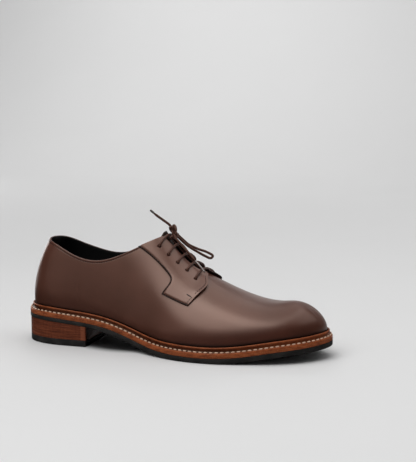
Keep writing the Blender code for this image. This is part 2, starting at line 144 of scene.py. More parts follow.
def last_surface(turn, climb):
    """Points of the last: turn is the place round the feather line, climb the way up to the ridge.

    Each line is a cubic curve from the feather line, out and up by swell and rise, over to the
    ridge, where it ends level across the ridge or, by fan, along it.
    """
    turn, climb = np.broadcast_arrays(np.asarray(turn, float), np.asarray(climb, float))
    columns = LAST_CURVE(turn)
    foot, ridge = columns[..., FOOT], columns[..., RIDGE]
    swell, rise, crown = columns[..., SWELL], columns[..., RISE], columns[..., CROWN]
    fan = np.clip(columns[..., FAN], -1.0, 1.0)
    lateral = np.mod(turn, 1.0) < 0.5
    nudge, tip = 0.002, 0.012
    half = np.clip(np.where(lateral, np.mod(turn, 1.0), 1 - np.mod(turn, 1.0)), tip, 0.5 - tip)
    forward = unit(LAST_CURVE(half + nudge)[..., RIDGE] - LAST_CURVE(half - nudge)[..., RIDGE])
    wall = foot + np.concatenate([outward(turn) * swell[..., None], rise[..., None]], axis=-1)
    shoulder = ridge + forward * (crown * fan)[..., None]
    shoulder[..., 1] += np.where(lateral, -1.0, 1.0) * crown * np.sqrt(1 - fan**2)
    up = climb[..., None]
    down = 1 - up
    return down**3 * foot + 3 * down**2 * up * wall + 3 * down * up**2 * shoulder + up**3 * ridge


def last_frame(turn, climb):
    """Points of the last with the outward normal and the upward direction of its surface there."""
    nudge = 0.002
    climb = np.asarray(climb, float)
    high = np.minimum(climb + nudge, 1.0)
    around = last_surface(turn + nudge, climb) - last_surface(turn - nudge, climb)
    upward = last_surface(turn, high) - last_surface(turn, high - 2 * nudge)
    return last_surface(turn, climb), unit(np.cross(around, upward)), unit(upward)


def last_offset(turn, climb, distance):
    """Points at a distance outside the last's surface, inside it where negative."""
    point, normal, _ = last_frame(turn, climb)
    return point + normal * np.asarray(distance)[..., None]


def centre_of_sole():
    """Middle of the sole's outline, which is the origin of the part."""
    samples = 1200
    turn = np.linspace(0.0, 1.0, samples, endpoint=False)
    places = outline(turn, LAST_CURVE(turn)[..., SOLE_EDGE])
    return np.append((places.min(axis=0) + places.max(axis=0)) / 2, 0.0)


CENTRE = centre_of_sole()


# Insole: a black leather sock glued on the insole board, seen through the collar. It is a thin sheet
# that turns up a little where it meets the lining.
INSOLE_INSET = 2.0 * MM
INSOLE_LIFT = 0.9 * MM
INSOLE_TURN_UP = 0.8 * MM
INSOLE_THICKNESS = 1.2 * MM
INSOLE_GRID = (160, 24)
INSOLE_BLACK = (0.010, 0.009, 0.009, 1.0)
INSOLE_WORN = (0.020, 0.017, 0.016, 1.0)


class Shade:
    """A socket of one material's nodes: arithmetic on it adds Math nodes, node() adds any other node."""

    def __init__(self, tree, socket=None):
        self.tree = tree
        self.socket = socket

    def node(self, kind, settings, sockets, output=0):
        """Adds a node, sets its settings first and then the values or links of its sockets."""
        made = self.tree.nodes.new("ShaderNode" + kind)
        for name, value in settings.items():
            setattr(made, name, value)
        for name, value in sockets.items():
            if isinstance(value, Shade):
                self.tree.links.new(value.socket, made.inputs[name])
            else:
                made.inputs[name].default_value = value
        return Shade(self.tree, made.outputs[output])

    def math(self, operation, first, second):
        """Adds one Math node on two values or sockets."""
        return self.node("Math", {"operation": operation}, {0: first, 1: second})

    def __add__(self, other):
        return self.math("ADD", self, other)

    def __sub__(self, other):
        return self.math("SUBTRACT", self, other)

    def __mul__(self, other):
        return self.math("MULTIPLY", self, other)

    __radd__ = __add__

    def clear_step(self, low, high):
        """Smooth rise from 0 at low to 1 at high."""
        return self.node("MapRange", {"interpolation_type": "SMOOTHSTEP"},
                         {"Value": self, "From Min": low, "From Max": high})

    def mix(self, first, second):
        """First colour where this socket is 0, second where it is 1."""
        return self.node("Mix", {"data_type": "RGBA"}, {0: self, 6: first, 7: second}, output=2)

    def place(self):
        """The piece's own coordinates, in metres."""
        return self.node("TexCoord", {}, {}, output=3)

    def noise(self, scale, detail=3.0, stretch=(1.0, 1.0, 1.0)):
        """Noise with a number of waves to the metre, over the piece's own coordinates."""
        place = self.node("Mapping", {}, {"Vector": self.place(), "Scale": stretch})
        return self.node("TexNoise", {}, {"Vector": place, "Scale": scale, "Detail": detail})

    def attribute(self, name):
        """A mark of the mesh, by its name."""
        return self.node("Attribute", {"attribute_name": name}, {}, output=2)


def new_finish(name, constants):
    """Material with one Principled shader: returns it, its root for expressions and its sockets."""
    material = bpy.data.materials.new(name)
    material.use_nodes = True
    shader = material.node_tree.nodes["Principled BSDF"]
    for socket, value in constants.items():
        shader.inputs[socket].default_value = value
    return material, Shade(material.node_tree), shader.inputs


def feed(sockets, colour=None, roughness=None, height=None, depth=0.1 * MM):
    """Links what changes over a surface: its colour, its roughness and the height of its bumps."""
    for name, value in (("Base Color", colour), ("Roughness", roughness)):
        if value is not None:
            value.tree.links.new(value.socket, sockets[name])
    if height is not None:
        bump = height.node("Bump", {}, {"Strength": 1.0, "Distance": depth, "Height": height})
        height.tree.links.new(bump.socket, sockets["Normal"])


def mottled(name, constants, scales, colours, detail=3.0, depth=0.1 * MM):
    """Finish of two colours mixed by a coarse noise, with the bumps of a fine one."""
    material, root, sockets = new_finish(name, constants)
    patches, bumps = scales
    feed(sockets, root.noise(patches).mix(*colours), height=root.noise(bumps, detail), depth=depth)
    return material


def skin(name, points, closed=(False, False), marks=None, ends=False):
    """Mesh over a grid of points in the last's frame, closed round either way, welded where points meet.

    marks are values at each point that the materials read by name. ends fills the last section.
    """
    rows, columns = points.shape[:2]
    number = np.arange(rows * columns).reshape(rows, columns)
    last_ring = number[-1]
    if closed[0]:
        number = np.vstack([number, number[:1]])
    if closed[1]:
        number = np.hstack([number, number[:, :1]])
    faces = np.stack([number[:-1, :-1], number[1:, :-1], number[1:, 1:], number[:-1, 1:]], axis=-1)
    faces = faces.reshape(-1, 4).tolist()
    if ends:
        faces.append(last_ring.tolist())
    mesh = bpy.data.meshes.new(name)
    mesh.from_pydata((points - CENTRE).reshape(-1, 3).tolist(), [], faces)
    for mark, values in (marks or {}).items():
        layer = mesh.attributes.new(mark, "FLOAT", "POINT")
        layer.data.foreach_set("value", values.astype(np.float32).ravel())
    weld, sliver = 0.005 * MM, 0.002 * MM
    form = bmesh.new()
    form.from_mesh(mesh)
    bmesh.ops.remove_doubles(form, verts=form.verts, dist=weld)
    bmesh.ops.dissolve_degenerate(form, edges=form.edges, dist=sliver)
    form.to_mesh(mesh)
    form.free()
    mesh.shade_smooth()
    return mesh


def add_piece(name, mesh, material, slot, *nodes):
    """Puts a mesh into the scene as a piece that rides on the shoe and stands for its solids."""
    mesh.materials.append(material)
    made = bpy.data.objects.new(name, mesh)
    bpy.context.scene.collection.objects.link(made)
    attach(made, "root")
    if nodes:
        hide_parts(*nodes)
    return made


def thicken(piece, thickness, offset):
    """Gives a sheet its thickness, inward by an offset of -1 and outward by 1."""
    wall = piece.modifiers.new("Thickness", "SOLIDIFY")
    wall.thickness = thickness
    wall.offset = offset
    return piece


def insole_points():
    """Level lines from the lateral to the medial edge, turned up by the way out to the fourth power."""
    along, across = INSOLE_GRID
    half = np.linspace(0.0, 0.5, along + 1)
    share = np.linspace(-1.0, 1.0, across + 1)[:, None]
    inset = np.full(along + 1, -INSOLE_INSET)
    lateral, medial = outline(half, inset), outline(1 - half, inset)
    flat = lateral[:, None] * (1 - share) / 2 + medial[:, None] * (1 + share) / 2
    height = LAST_CURVE(half)[:, FEATHER] + INSOLE_LIFT
    return np.concatenate([flat, (height[:, None] + INSOLE_TURN_UP * share[:, 0]**4)[..., None]], axis=-1)


insole_finish = mottled("insole_leather", {"Roughness": 0.7}, (60.0, 1400.0), (INSOLE_BLACK, INSOLE_WORN))
insole = add_piece("insole_sock", skin("insole_sock", insole_points()), insole_finish, "insole_leather",
                   "insole")
thicken(insole, INSOLE_THICKNESS, -1.0)


# Outsole: a black rubber sheet under the welt from toe to heel, thinner over the heel, cemented on and
# trimmed flush with the welt. Its edge is ground smooth and its lower corner broken.
WELT_DROP = 5.2 * MM           # from the feather line down to the welt's lower face
GAP = 0.35 * MM
OUTSOLE_THICKNESS = 4.6 * MM
OUTSOLE_AT_HEEL = 3.4 * MM
HEEL_BREAST = 65.5 * MM
OUTSOLE_TAPER = 20.0 * MM
OUTSOLE_CORNERS = (0.5 * MM, 0.9 * MM)      # radius above, below
SOLE_COLUMNS = 240
BREAST_SEARCH = (0.02, 0.25)   # places round the feather line between which a breast lies
RUBBER_BLACK = (0.014, 0.013, 0.012, 1.0)
RUBBER_DUSTY = (0.034, 0.031, 0.029, 1.0)


def welt_bottom(columns):
    """Height of the welt's lower face."""
    return columns[..., FEATHER] - WELT_DROP


def outsole_top(columns):
    """Height of the outsole's upper face, a fine gap below the welt."""
    return welt_bottom(columns) - GAP / 2


def outsole_bottom(columns):
    """Height of the outsole's lower face, thinner over the heel and flat on the ground at the ball."""
    thickness = np.interp(columns[..., ALONG], (HEEL_BREAST, HEEL_BREAST + OUTSOLE_TAPER),
                          (OUTSOLE_AT_HEEL, OUTSOLE_THICKNESS))
    return np.maximum(welt_bottom(columns) - GAP - thickness, 0.0)


def corner_rows(radius_above, radius_below, layers=()):
    """Rows of a slab's edge from its lower to its upper face: inset, share of the height, and lift from it.

    Both corners are quarter circles. Each layer is a share of the height where a fine groove runs round.
    """
    turn = np.radians(np.linspace(0.0, 90.0, 5))
    rows = [(radius_below * (1 - np.sin(a)), 0.0, radius_below * (1 - np.cos(a))) for a in turn]
    groove_depth, groove_half = 0.07 * MM, 0.10 * MM
    for share in layers:
        rows += [(inset, share, lift) for inset, lift in
                 ((0.0, -groove_half), (groove_depth, 0.0), (0.0, groove_half))]
    rows += [(radius_above * (1 - np.cos(a)), 1.0, -radius_above * (1 - np.sin(a))) for a in turn]
    return np.array(rows)


def slab(rows, reach, top, bottom, breast=None, corner=1.4 * MM):
    """Sections of a slab inside an outline, from the heel back to the toe tip or a straight breast.

    Each section goes up the lateral edge by the rows, over the top, down the medial edge and back below.
    At a breast the last sections follow a quarter circle, which rounds the upright corners.
    """
    half = np.linspace(0.0, 0.5, SOLE_COLUMNS + 1)
    end_half = np.zeros(0)
    if breast is not None:
        fine = np.linspace(*BREAST_SEARCH, 400)
        round_off = np.radians(np.linspace(0.0, 90.0, 9))
        ends = breast - corner + corner * np.sin(round_off)
        squeeze = corner * (1 - np.cos(round_off))
        edges = [outline(turn, reach(LAST_CURVE(half)))[:, 0] for turn in (half, 1 - half)]
        half = half[np.maximum(*edges) < ends[0] - MM]
        end_half = np.interp(ends, LAST_CURVE(fine)[:, ALONG], fine)
    inset = rows[:, 0]
    sides = []
    for medial in (False, True):
        flat = outline((1 - half if medial else half)[:, None], reach(LAST_CURVE(half))[:, None] - inset)
        if breast is not None:
            line = outline(1 - fine if medial else fine, reach(LAST_CURVE(fine)))
            across = np.interp(ends, line[:, 0], line[:, 1])[:, None]
            inward = -np.sign(across) * (inset + squeeze[:, None])
            tail = np.stack(np.broadcast_arrays(ends[:, None], across + inward), axis=-1)
            flat = np.concatenate([flat, tail])
        sides.append(flat)
    columns = LAST_CURVE(np.concatenate([half, end_half]))
    low, high = bottom(columns)[:, None], top(columns)[:, None]
    height = low * (1 - rows[:, 1]) + high * rows[:, 1] + rows[:, 2]
    lateral, medial = (np.concatenate([flat, height[..., None]], axis=-1) for flat in sides)
    share = np.linspace(0.0, 1.0, 14)[1:-1, None]
    over = lateral[:, -1:] * (1 - share) + medial[:, -1:] * share
    under = medial[:, :1] * (1 - share) + lateral[:, :1] * share
    return np.concatenate([lateral, over, medial[:, ::-1], under], axis=1)


def rubber(name):
    """Black rubber, matte, with a fine pebble and a little dust in its colour."""
    material, root, sockets = new_finish(name, {"Specular IOR Level": 0.35})
    pebble = root.noise(1800.0, 2.0)
    colour = root.noise(90.0, 5.0).clear_step(0.35, 0.75).mix(RUBBER_BLACK, RUBBER_DUSTY)
    feed(sockets, colour, root.noise(300.0) * 0.2 + 0.5, pebble, 0.05 * MM)
    return material


def sole_edge(columns):
    """Reach of the sole's edge outside the feather line."""
    return columns[..., SOLE_EDGE]


outsole_points = slab(corner_rows(*OUTSOLE_CORNERS), sole_edge, outsole_top, outsole_bottom)
add_piece("outsole_rubber", skin("outsole_rubber", outsole_points, (False, True)), rubber("outsole_rubber"),
          "black_rubber", "outsole")


# Heel: a stack of leather layers nailed under the outsole, sanded flush and stained reddish brown, with
# a straight breast, and a black rubber top lift that stands on the ground. A paler band just behind the
# breast is a painted highlight where the corners round off.
HEEL_INSET = 0.5 * MM
TOP_LIFT_THICKNESS = 6.2 * MM
LAYERS = (0.17, 0.34, 0.51, 0.68, 0.85)
STACK_CORNERS = (0.2 * MM, 0.2 * MM)        # radius above, below
LIFT_CORNERS = (0.3 * MM, 0.7 * MM)
STACK_DARK = (0.082, 0.020, 0.010, 1.0)
STACK_LIGHT = (0.200, 0.053, 0.023, 1.0)
STACK_CORNER_HIGHLIGHT = (0.300, 0.088, 0.042, 1.0)       # painted highlight where the corner beside the breast catches the light
CORNER_STRIP = 5.0 * MM        # width of the painted highlight beside the breast
STRIP_BLUR = 0.3 * MM
HIGHLIGHT_SHARE = 0.5


def heel_edge(columns):
    """Reach of the heel's edge, a little inside the sole's."""
    return columns[..., SOLE_EDGE] - HEEL_INSET


def level(height):
    """Flat face at one height over the ground, as a function of the last's columns."""
    def face(columns):
        return np.full(len(columns), height)

    return face


def stacked_leather():
    """Edges of leather layers: long streaks along each layer, fine upright sanding marks, waxed."""
    material, root, sockets = new_finish("stacked_leather", {"Specular IOR Level": 0.1})
    streaks = root.noise(34.0, 6.0, (1.0, 1.0, 34.0))
    fibres = root.noise(500.0, 3.0, (1.0, 1.0, 0.25))
    ahead = root.node("SeparateXYZ", {}, {"Vector": root.place()})
    breast = HEEL_BREAST - CENTRE[0]
    # painted highlight: a paler band just behind the breast, where the corners catch the light
    start = breast - CORNER_STRIP
    on_breast = ahead.clear_step(breast - 3 * STRIP_BLUR, breast - STRIP_BLUR)
    strip = (ahead.clear_step(start - STRIP_BLUR, start + STRIP_BLUR) - on_breast) * HIGHLIGHT_SHARE
    layers = (streaks * 0.75 + fibres * 0.25).clear_step(0.32, 0.68)
    colour = strip.mix(layers.mix(STACK_DARK, STACK_LIGHT), STACK_CORNER_HIGHLIGHT)
    feed(sockets, colour, 0.36 + streaks * 0.2, streaks * 0.6 + fibres * 0.4, 0.08 * MM)
    return material


stack_points = slab(corner_rows(*STACK_CORNERS, LAYERS), heel_edge, outsole_bottom,
                    level(TOP_LIFT_THICKNESS), HEEL_BREAST)
add_piece("heel_layers", skin("heel_layers", stack_points, (False, True), ends=True), stacked_leather(),
          "stacked_leather", "heel_stack")
lift_points = slab(corner_rows(*LIFT_CORNERS), heel_edge, level(TOP_LIFT_THICKNESS), level(0.0), HEEL_BREAST)
add_piece("heel_rubber", skin("heel_rubber", lift_points, (False, True), ends=True), rubber("heel_rubber"),
          "black_rubber", "heel_top_lift")


# Welt: a strip of tan leather sewn round the whole shoe. A bead stands up against the upper, a groove
# filled with dark wax runs beside it, and a row of cream lock stitches through welt and outsole lies
# along the edge. The wax's dark colour is also painted on the bead's flanks as shade, leaving its
# crest light.
# the last column is the share of dark colour in each fold: wax in the groove, painted shade on the bead's
# flanks
Fold = namedtuple("Fold", "from_edge reach lift wax")
WELT_FOLDS = (
    Fold(0, -3.7, -5.2, 0.0), Fold(1, -0.8, -5.2, 0.0), Fold(1, -0.1, -5.1, 0.3),
    Fold(1, 0.0, -4.6, 0.1), Fold(1, 0.05, -3.0, 0.0), Fold(1, 0.0, -1.5, 0.0),
    Fold(1, -0.15, -0.75, 0.0), Fold(1, -0.75, -0.35, 0.0), Fold(0, 4.1, -0.6, 0.1),
    Fold(0, 3.5, -0.75, 0.7), Fold(0, 2.9, -0.4, 1.0), Fold(0, 2.3, 0.4, 1.0),
    Fold(0, 2.0, 1.3, 0.9), Fold(0, 2.25, 2.0, 0.8), Fold(0, 2.85, 2.6, 0.9),
    Fold(0, 2.95, 3.5, 0.4), Fold(0, 2.6, 4.2, 0.0), Fold(0, 2.0, 4.4, 0.1),
    Fold(0, 1.5, 4.0, 0.8), Fold(0, 0.45, -0.35, 1.0), Fold(0, -3.7, -0.35, 0.0),
)
WELT_COLUMNS = 420
STITCH_SAMPLES = 2401
STITCH_PITCH = 5.0 * MM
STITCH_REACH = 4.15 * MM
STITCH_LIFT = 0.1 * MM
STITCH_SIZE = (3.6 * MM, 1.2 * MM, 1.2 * MM)      # length, width, height
WELT_TAN = (0.355, 0.090, 0.028, 1.0)
WELT_BROWN = (0.180, 0.039, 0.012, 1.0)
# dark wax, also the painted shade on the bead's flanks
WELT_WAX_AND_SHADE = (0.055, 0.014, 0.006, 1.0)
WAX_LOST = 0.55                # share of the folds' dark colour that fades at the toe, where the wax is rubbed off
WAX_FADE = (190.0 * MM, 280.0 * MM)
THREAD_CREAM = (0.860, 0.620, 0.455, 1.0)
THREAD_SHADE = (0.560, 0.340, 0.220, 1.0)


def smooth_rise(value, low, high):
    """Smooth rise from 0 at low to 1 at high."""
    share = np.clip((value - low) / (high - low), 0.0, 1.0)
    return share**2 * (3 - 2 * share)


def welt_points():
    """The folds carried round the feather line, each from the line itself or from the sole's edge.

    The second value is the dark colour in the folds, wax with painted shade on the bead, which fades
    toward the toe, where the wax is rubbed off.
    """
    turn = np.linspace(0.0, 1.0, WELT_COLUMNS, endpoint=False)[:, None]
    folds = np.array(WELT_FOLDS)
    columns = LAST_CURVE(turn)
    reach = folds[:, 0] * columns[..., SOLE_EDGE] + folds[:, 1] * MM
    height = columns[..., FEATHER] + folds[:, 2] * MM
    points = np.concatenate([outline(turn + 0 * reach, reach), height[..., None]], axis=-1)
    return points, folds[:, 3] * (1 - WAX_LOST * smooth_rise(columns[..., ALONG], *WAX_FADE))


def way_along(line):
    """Length of a line from its start to each of its points."""
    return np.concatenate([[0.0], np.cumsum(np.linalg.norm(np.diff(line, axis=0), axis=1))])


def evenly(points, pitch, normals=None):
    """Places a pitch apart along a line of points, with the line's direction and its normal at each."""
    drawn = way_along(points)
    count = max(int(round(drawn[-1] / pitch)), 1)
    stops = (np.arange(count) + 0.5) * drawn[-1] / count
    nudge = pitch / 4

    def at(places, values):
        return np.stack([np.interp(places, drawn, axis) for axis in values.T], axis=-1)

    upright = np.broadcast_to([0.0, 0.0, 1.0], points.shape) if normals is None else normals
    along = unit(at(stops + nudge, points) - at(stops - nudge, points))
    return at(stops, points), along, at(stops, upright)


def stitch_row(name, centres, along, up, size):
    """One mesh of many stitches, each a ring carried from end to end.

    The ring's size is the root of one less the cube of the way out, blunt like a pulled thread.
    """
    length, width, height = size
    ends, around = 7, 8
    sweep = np.linspace(-1.0, 1.0, ends)[:, None]
    swell = (1 - np.abs(sweep)**3) ** 0.5
    ring = np.linspace(0.0, 2 * np.pi, around, endpoint=False)
    side = unit(np.cross(up, along))
    up = np.cross(along, side)

    def spread(vectors, factor):
        return vectors[:, None, None] * factor[..., None]

    points = (centres[:, None, None] + spread(along, np.repeat(sweep * length / 2, around, axis=1))
              + spread(side, swell * np.cos(ring) * width / 2)
              + spread(up, swell * np.sin(ring) * height / 2))
    number = np.arange(len(centres) * ends * around).reshape(len(centres), ends, around)
    turned = np.roll(number, -1, axis=2)
    faces = np.stack([number[:, :-1], turned[:, :-1], turned[:, 1:], number[:, 1:]], axis=-1).reshape(-1, 4)
    mesh = bpy.data.meshes.new(name)
    mesh.from_pydata((points - CENTRE).reshape(-1, 3).tolist(), [], faces.tolist())
    weld = 0.003 * MM
    form = bmesh.new()
    form.from_mesh(mesh)
    bmesh.ops.remove_doubles(form, verts=form.verts, dist=weld)
    bmesh.ops.recalc_face_normals(form, faces=form.faces)
    form.to_mesh(mesh)
    form.free()
    mesh.shade_smooth()
    return mesh


def thread(name, light, dark):
    """Waxed thread: fine twist and soft shade in its colour."""
    return mottled(name, {"Roughness": 0.55}, (900.0, 2600.0), (dark, light), detail=1.0)


def sew(name, line, pitch, size, yarn, slot, normals=None):
    """Puts a row of stitches along a line into the scene, as one piece."""
    add_piece(name, stitch_row(name, *evenly(line, pitch, normals), size), yarn, slot)


def tan_leather():
    """Waxed tan leather: mottled along the cut edge, dark with wax and painted shade in the deep folds."""
    material, root, sockets = new_finish("tan_leather", {"Specular IOR Level": 0.4,
                                                         "Specular Tint": (1.0, 0.7, 0.5, 1.0)})
    streaks = root.noise(140.0, 5.0, (1.0, 1.0, 3.0))
    grain = root.noise(900.0, 2.0)
    dyed = (streaks * 0.6 + grain * 0.4).clear_step(0.34, 0.64).mix(WELT_BROWN, WELT_TAN)
    wax = root.attribute("wax")
    roughness = 0.36 + streaks * 0.2 - wax * 0.2
    feed(sockets, wax.mix(dyed, WELT_WAX_AND_SHADE), roughness, streaks * 0.4 + grain * 0.6, 0.12 * MM)
    return material


welt_grid, welt_wax_and_shade = welt_points()
welt_mesh = skin("welt_strip", welt_grid, (True, True), {"wax": welt_wax_and_shade})
welt = add_piece("welt_strip", welt_mesh, tan_leather(), "tan_leather", "welt")
smooth = welt.modifiers.new("Rounded folds", "SUBSURF")
smooth.levels = smooth.render_levels = 1
stitch_turn = np.linspace(0.0, 1.0, STITCH_SAMPLES)
stitch_line = np.column_stack([outline(stitch_turn, np.full(len(stitch_turn), STITCH_REACH)),
                               LAST_CURVE(stitch_turn)[:, FEATHER] + STITCH_LIFT])
cream_thread = thread("cream_thread", THREAD_CREAM, THREAD_SHADE)
sew("welt_stitches", stitch_line, STITCH_PITCH, STITCH_SIZE, cream_thread, "tan_leather")


# Upper: one piece of smooth brown calf pulled over the last, vamp and quarters in one, burnished darker
# toward the sole, where painted shade darkens it too, with a painted black shadow line just above the
# welt's bead. Its collar edge is folded in, and the black lining starts under the fold.
Topline = namedtuple("Topline", "station lateral medial")
TOPLINE = (
    Topline(0.0, 99.8, 99.8), Topline(0.07, 99.8, 97.8), Topline(0.11, 97.8, 94.8),
    Topline(0.148, 93.8, 90.0), Topline(0.183, 88.6, 86.4), Topline(0.22, 84.3, 83.6),
    Topline(0.265, 82.6, 82.3), Topline(0.31, 85.1, 84.8), Topline(0.355, 91.0, 91.0),
    Topline(0.394, 97.0, 97.0), Topline(0.43, 101.8, 101.8), Topline(0.47, 106.2, 106.2),
    Topline(0.60, 116.0, 116.0),
)
THROAT_START = 118.0 * MM
THROAT_END = 177.0 * MM
THROAT_HALF_WIDTH = 7.0 * MM
THROAT_ROUNDING = 6.0 * MM
UPPER_WALL = 1.8 * MM
UPPER_COLUMNS = 420
WALL_ROWS = 56
COLLAR_ROWS = (6.0, 4.8, 3.8, 3.1, 2.6, 2.3, 2.0, 1.75, 1.5, 1.25, 1.0, 0.75, 0.5, 0.25,
               0.0)            # millimetres below the fold
COLLAR_BULGE = 0.22 * MM       # of the folded edge over its stitches
COLLAR_GROOVE = 0.16 * MM      # that the stitches pull in
COLLAR_GROOVE_WIDTH = 0.35 * MM
COLLAR_STITCH = 1.5 * MM       # below the fold
COLLAR_SAMPLES = 300
CUT_FADE = 0.04                # climb below the ridge over which the cut edge closes
FOLD_ROWS = 7
FOLD_RADIUS = 0.9 * MM
FOLD_BEND = 115.0              # degrees, to where the lining covers it
LEATHER_THICKNESS = 0.5 * MM
BEAD_TOP = 4.4 * MM            # of the welt's bead over the feather line
FACING_TOP_REAR = 0.392        # station where the facing's seam meets the collar
COLLAR_PITCH = 2.4 * MM
COLLAR_THREAD = (1.9 * MM, 0.55 * MM, 0.5 * MM)
BROWN_THREAD = thread("brown_thread", (0.040, 0.018, 0.013, 1.0), (0.018, 0.008, 0.006, 1.0))
BurnishAndShade = namedtuple("BurnishAndShade", "along height share")
# painted shade: this band is partly burnished and partly shade painted into the upper's colour
BURNISH_AND_SHADE_BAND = (                    # dark band over the welt: place along the shoe, height in millimetres, share
    BurnishAndShade(0.0, 15.0, 0.60), BurnishAndShade(55.0, 14.0, 0.60), BurnishAndShade(105.0, 6.0, 0.50),
    BurnishAndShade(150.0, 9.0, 0.70), BurnishAndShade(180.0, 14.0, 1.0), BurnishAndShade(262.0, 14.0, 1.0),
    BurnishAndShade(290.0, 9.0, 0.60),
)
BAND_FADE = (0.4, 1.3)         # shares of the band's height over which it fades
TOE_BURNISH = 0.40
TOE_START = (212.0 * MM, 262.0 * MM)
COLLAR_BURNISH = 0.55
BEAD_SHADE_HEIGHT = 1.6 * MM       # of the painted shadow line where the upper meets the bead
# painted shade: black in the upper's colour where the bead's shadow falls on it
BEAD_SHADE_BLACK = (0.006, 0.003, 0.002, 1.0)
STIFFENER_ALONG = 57.0 * MM    # upright edge of the heel stiffener, felt through the lateral side
STIFFENER_SPAN = (8.0 * MM, 14.0 * MM, 26.0 * MM, 34.0 * MM)      # starts, is full from and to, ends
STIFFENER_HEIGHT = 0.30 * MM
STIFFENER_WIDTH = 1.2 * MM
TOE_CENTRE = np.array([257.0, 3.0]) * MM      # along and across, near the end of the ridge
TOE_RADIUS = 25.0 * MM
TOE_CORE = 0.4                 # share of that radius where the leather is pulled fully even
TOE_DEGREE = 6                 # of the polynomial that it is pulled onto
LEATHER_BROWN = (0.110, 0.039, 0.025, 1.0)
LEATHER_DEEP = (0.088, 0.030, 0.018, 1.0)
# darker, duller finish: burnished at the toe and fold, painted shade in the band over the welt
BURNISHED_AND_SHADED_BROWN = (0.071, 0.021, 0.012, 1.0)
BURNISHED_AND_SHADED_DEEP = (0.054, 0.016, 0.009, 1.0)


def topline_curve():
    """Closed curve of the collar's height round the shoe."""
    place = np.array([row.station / 2 for row in TOPLINE])
    heights = [row.lateral for row in TOPLINE] + [row.medial for row in TOPLINE[:0:-1]]
    return spline(np.concatenate([place, 1 - place[:0:-1]]), np.array(heights)[:, None] * MM, period=1.0)


TOPLINE_CURVE = topline_curve()


def edge_climb(turn):
    """How far up the last the upper reaches: to the topline, to the slit at the throat, or to the ridge."""
    samples = 401
    climb = np.linspace(0.0, 1.0, samples)
    turn = np.asarray(turn, float)
    points = last_surface(turn[..., None], climb)
    along = points[..., 0]
    below_topline = TOPLINE_CURVE(turn) - points[..., 2]
    closing = np.clip((THROAT_END - along) / THROAT_ROUNDING, 0.0, 1.0)
    in_throat = (along > THROAT_START) & (along < THROAT_END)
    half_slit = np.where(in_throat, THROAT_HALF_WIDTH * np.sqrt(closing), -MM)
    beside_slit = np.abs(points[..., 1] - LAST_CURVE(turn)[..., RIDGE_ACROSS]) - half_slit
    room = np.where(along < THROAT_END, np.minimum(below_topline, beside_slit), MM)
    cut = room < 0
    first = np.maximum(cut.argmax(axis=-1), 1)[..., None]
    over = np.take_along_axis(room, first, axis=-1)[..., 0]
    under = np.take_along_axis(room, first - 1, axis=-1)[..., 0]
    share = under / np.where(cut.any(axis=-1), under - over, 1.0)
    return np.where(cut.any(axis=-1), (first[..., 0] - 1 + share) / (samples - 1), 1.0)


def edge_pace(turn, edge):
    """Length of the last's surface for one unit of climb, just below the upper's edge."""
    nudge = 0.01
    return np.linalg.norm(last_surface(turn, edge) - last_surface(turn, edge - nudge), axis=-1) / nudge


def cut_share(edge):
    """1 where the upper's edge is cut, falling to 0 where both sides meet on the ridge."""
    return np.clip((1 - edge) / CUT_FADE, 0.0, 1.0)


def bell(distance, width):
    """Smooth hump of height one, a few widths across."""
    return np.exp(-(distance / width)**2)


def burnish_and_shade_share(points, turn, fold):
    """How far the leather is burnished, darker and duller: at the toe and on the fold; in a band over the
    welt, partly burnished and partly painted shade; and in the painted shadow line just above the bead.

    The second value is the share of that painted shadow line alone.
    """
    table = np.array(BURNISH_AND_SHADE_BAND)
    along = points[..., 0]
    lift = points[..., 2] - LAST_CURVE(turn)[:, None, FEATHER] - BEAD_TOP
    height = np.interp(along, table[:, 0] * MM, table[:, 1] * MM)
    depth = np.interp(along, table[:, 0] * MM, table[:, 2])
    band = depth * (1 - smooth_rise(lift / height, *BAND_FADE))
    toe = TOE_BURNISH * smooth_rise(along, *TOE_START)
    painted_bead_shade = bell(np.maximum(lift, 0.0), BEAD_SHADE_HEIGHT)
    return np.maximum.reduce([band, toe, painted_bead_shade, COLLAR_BURNISH * fold]), painted_bead_shade


def pulled_even(points):
    """Points over the toe, moved in height onto one polynomial fitted to them, and less so farther out.

    It is fitted to the evenly spread rows and the last one, on the ridge, not to the crowded ones between.
    """
    place = (points[..., :2] - TOE_CENTRE) / TOE_RADIUS
    away = np.linalg.norm(place, axis=-1)
    powers = [(i, j) for i in range(TOE_DEGREE + 1) for j in range(TOE_DEGREE + 1 - i)]
    terms = np.stack([place[..., 0]**i * place[..., 1]**j for i, j in powers], axis=-1)
    fitted = away < 1.0
    fitted[:, WALL_ROWS:-1] = False
    fit = np.linalg.lstsq(terms[fitted], points[fitted][:, 2], rcond=None)[0]
    moved = (1 - smooth_rise(away, TOE_CORE, 1.0)) * (terms @ fit - points[..., 2])
    return np.concatenate([points[..., :2], (points[..., 2] + moved)[..., None]], axis=-1)


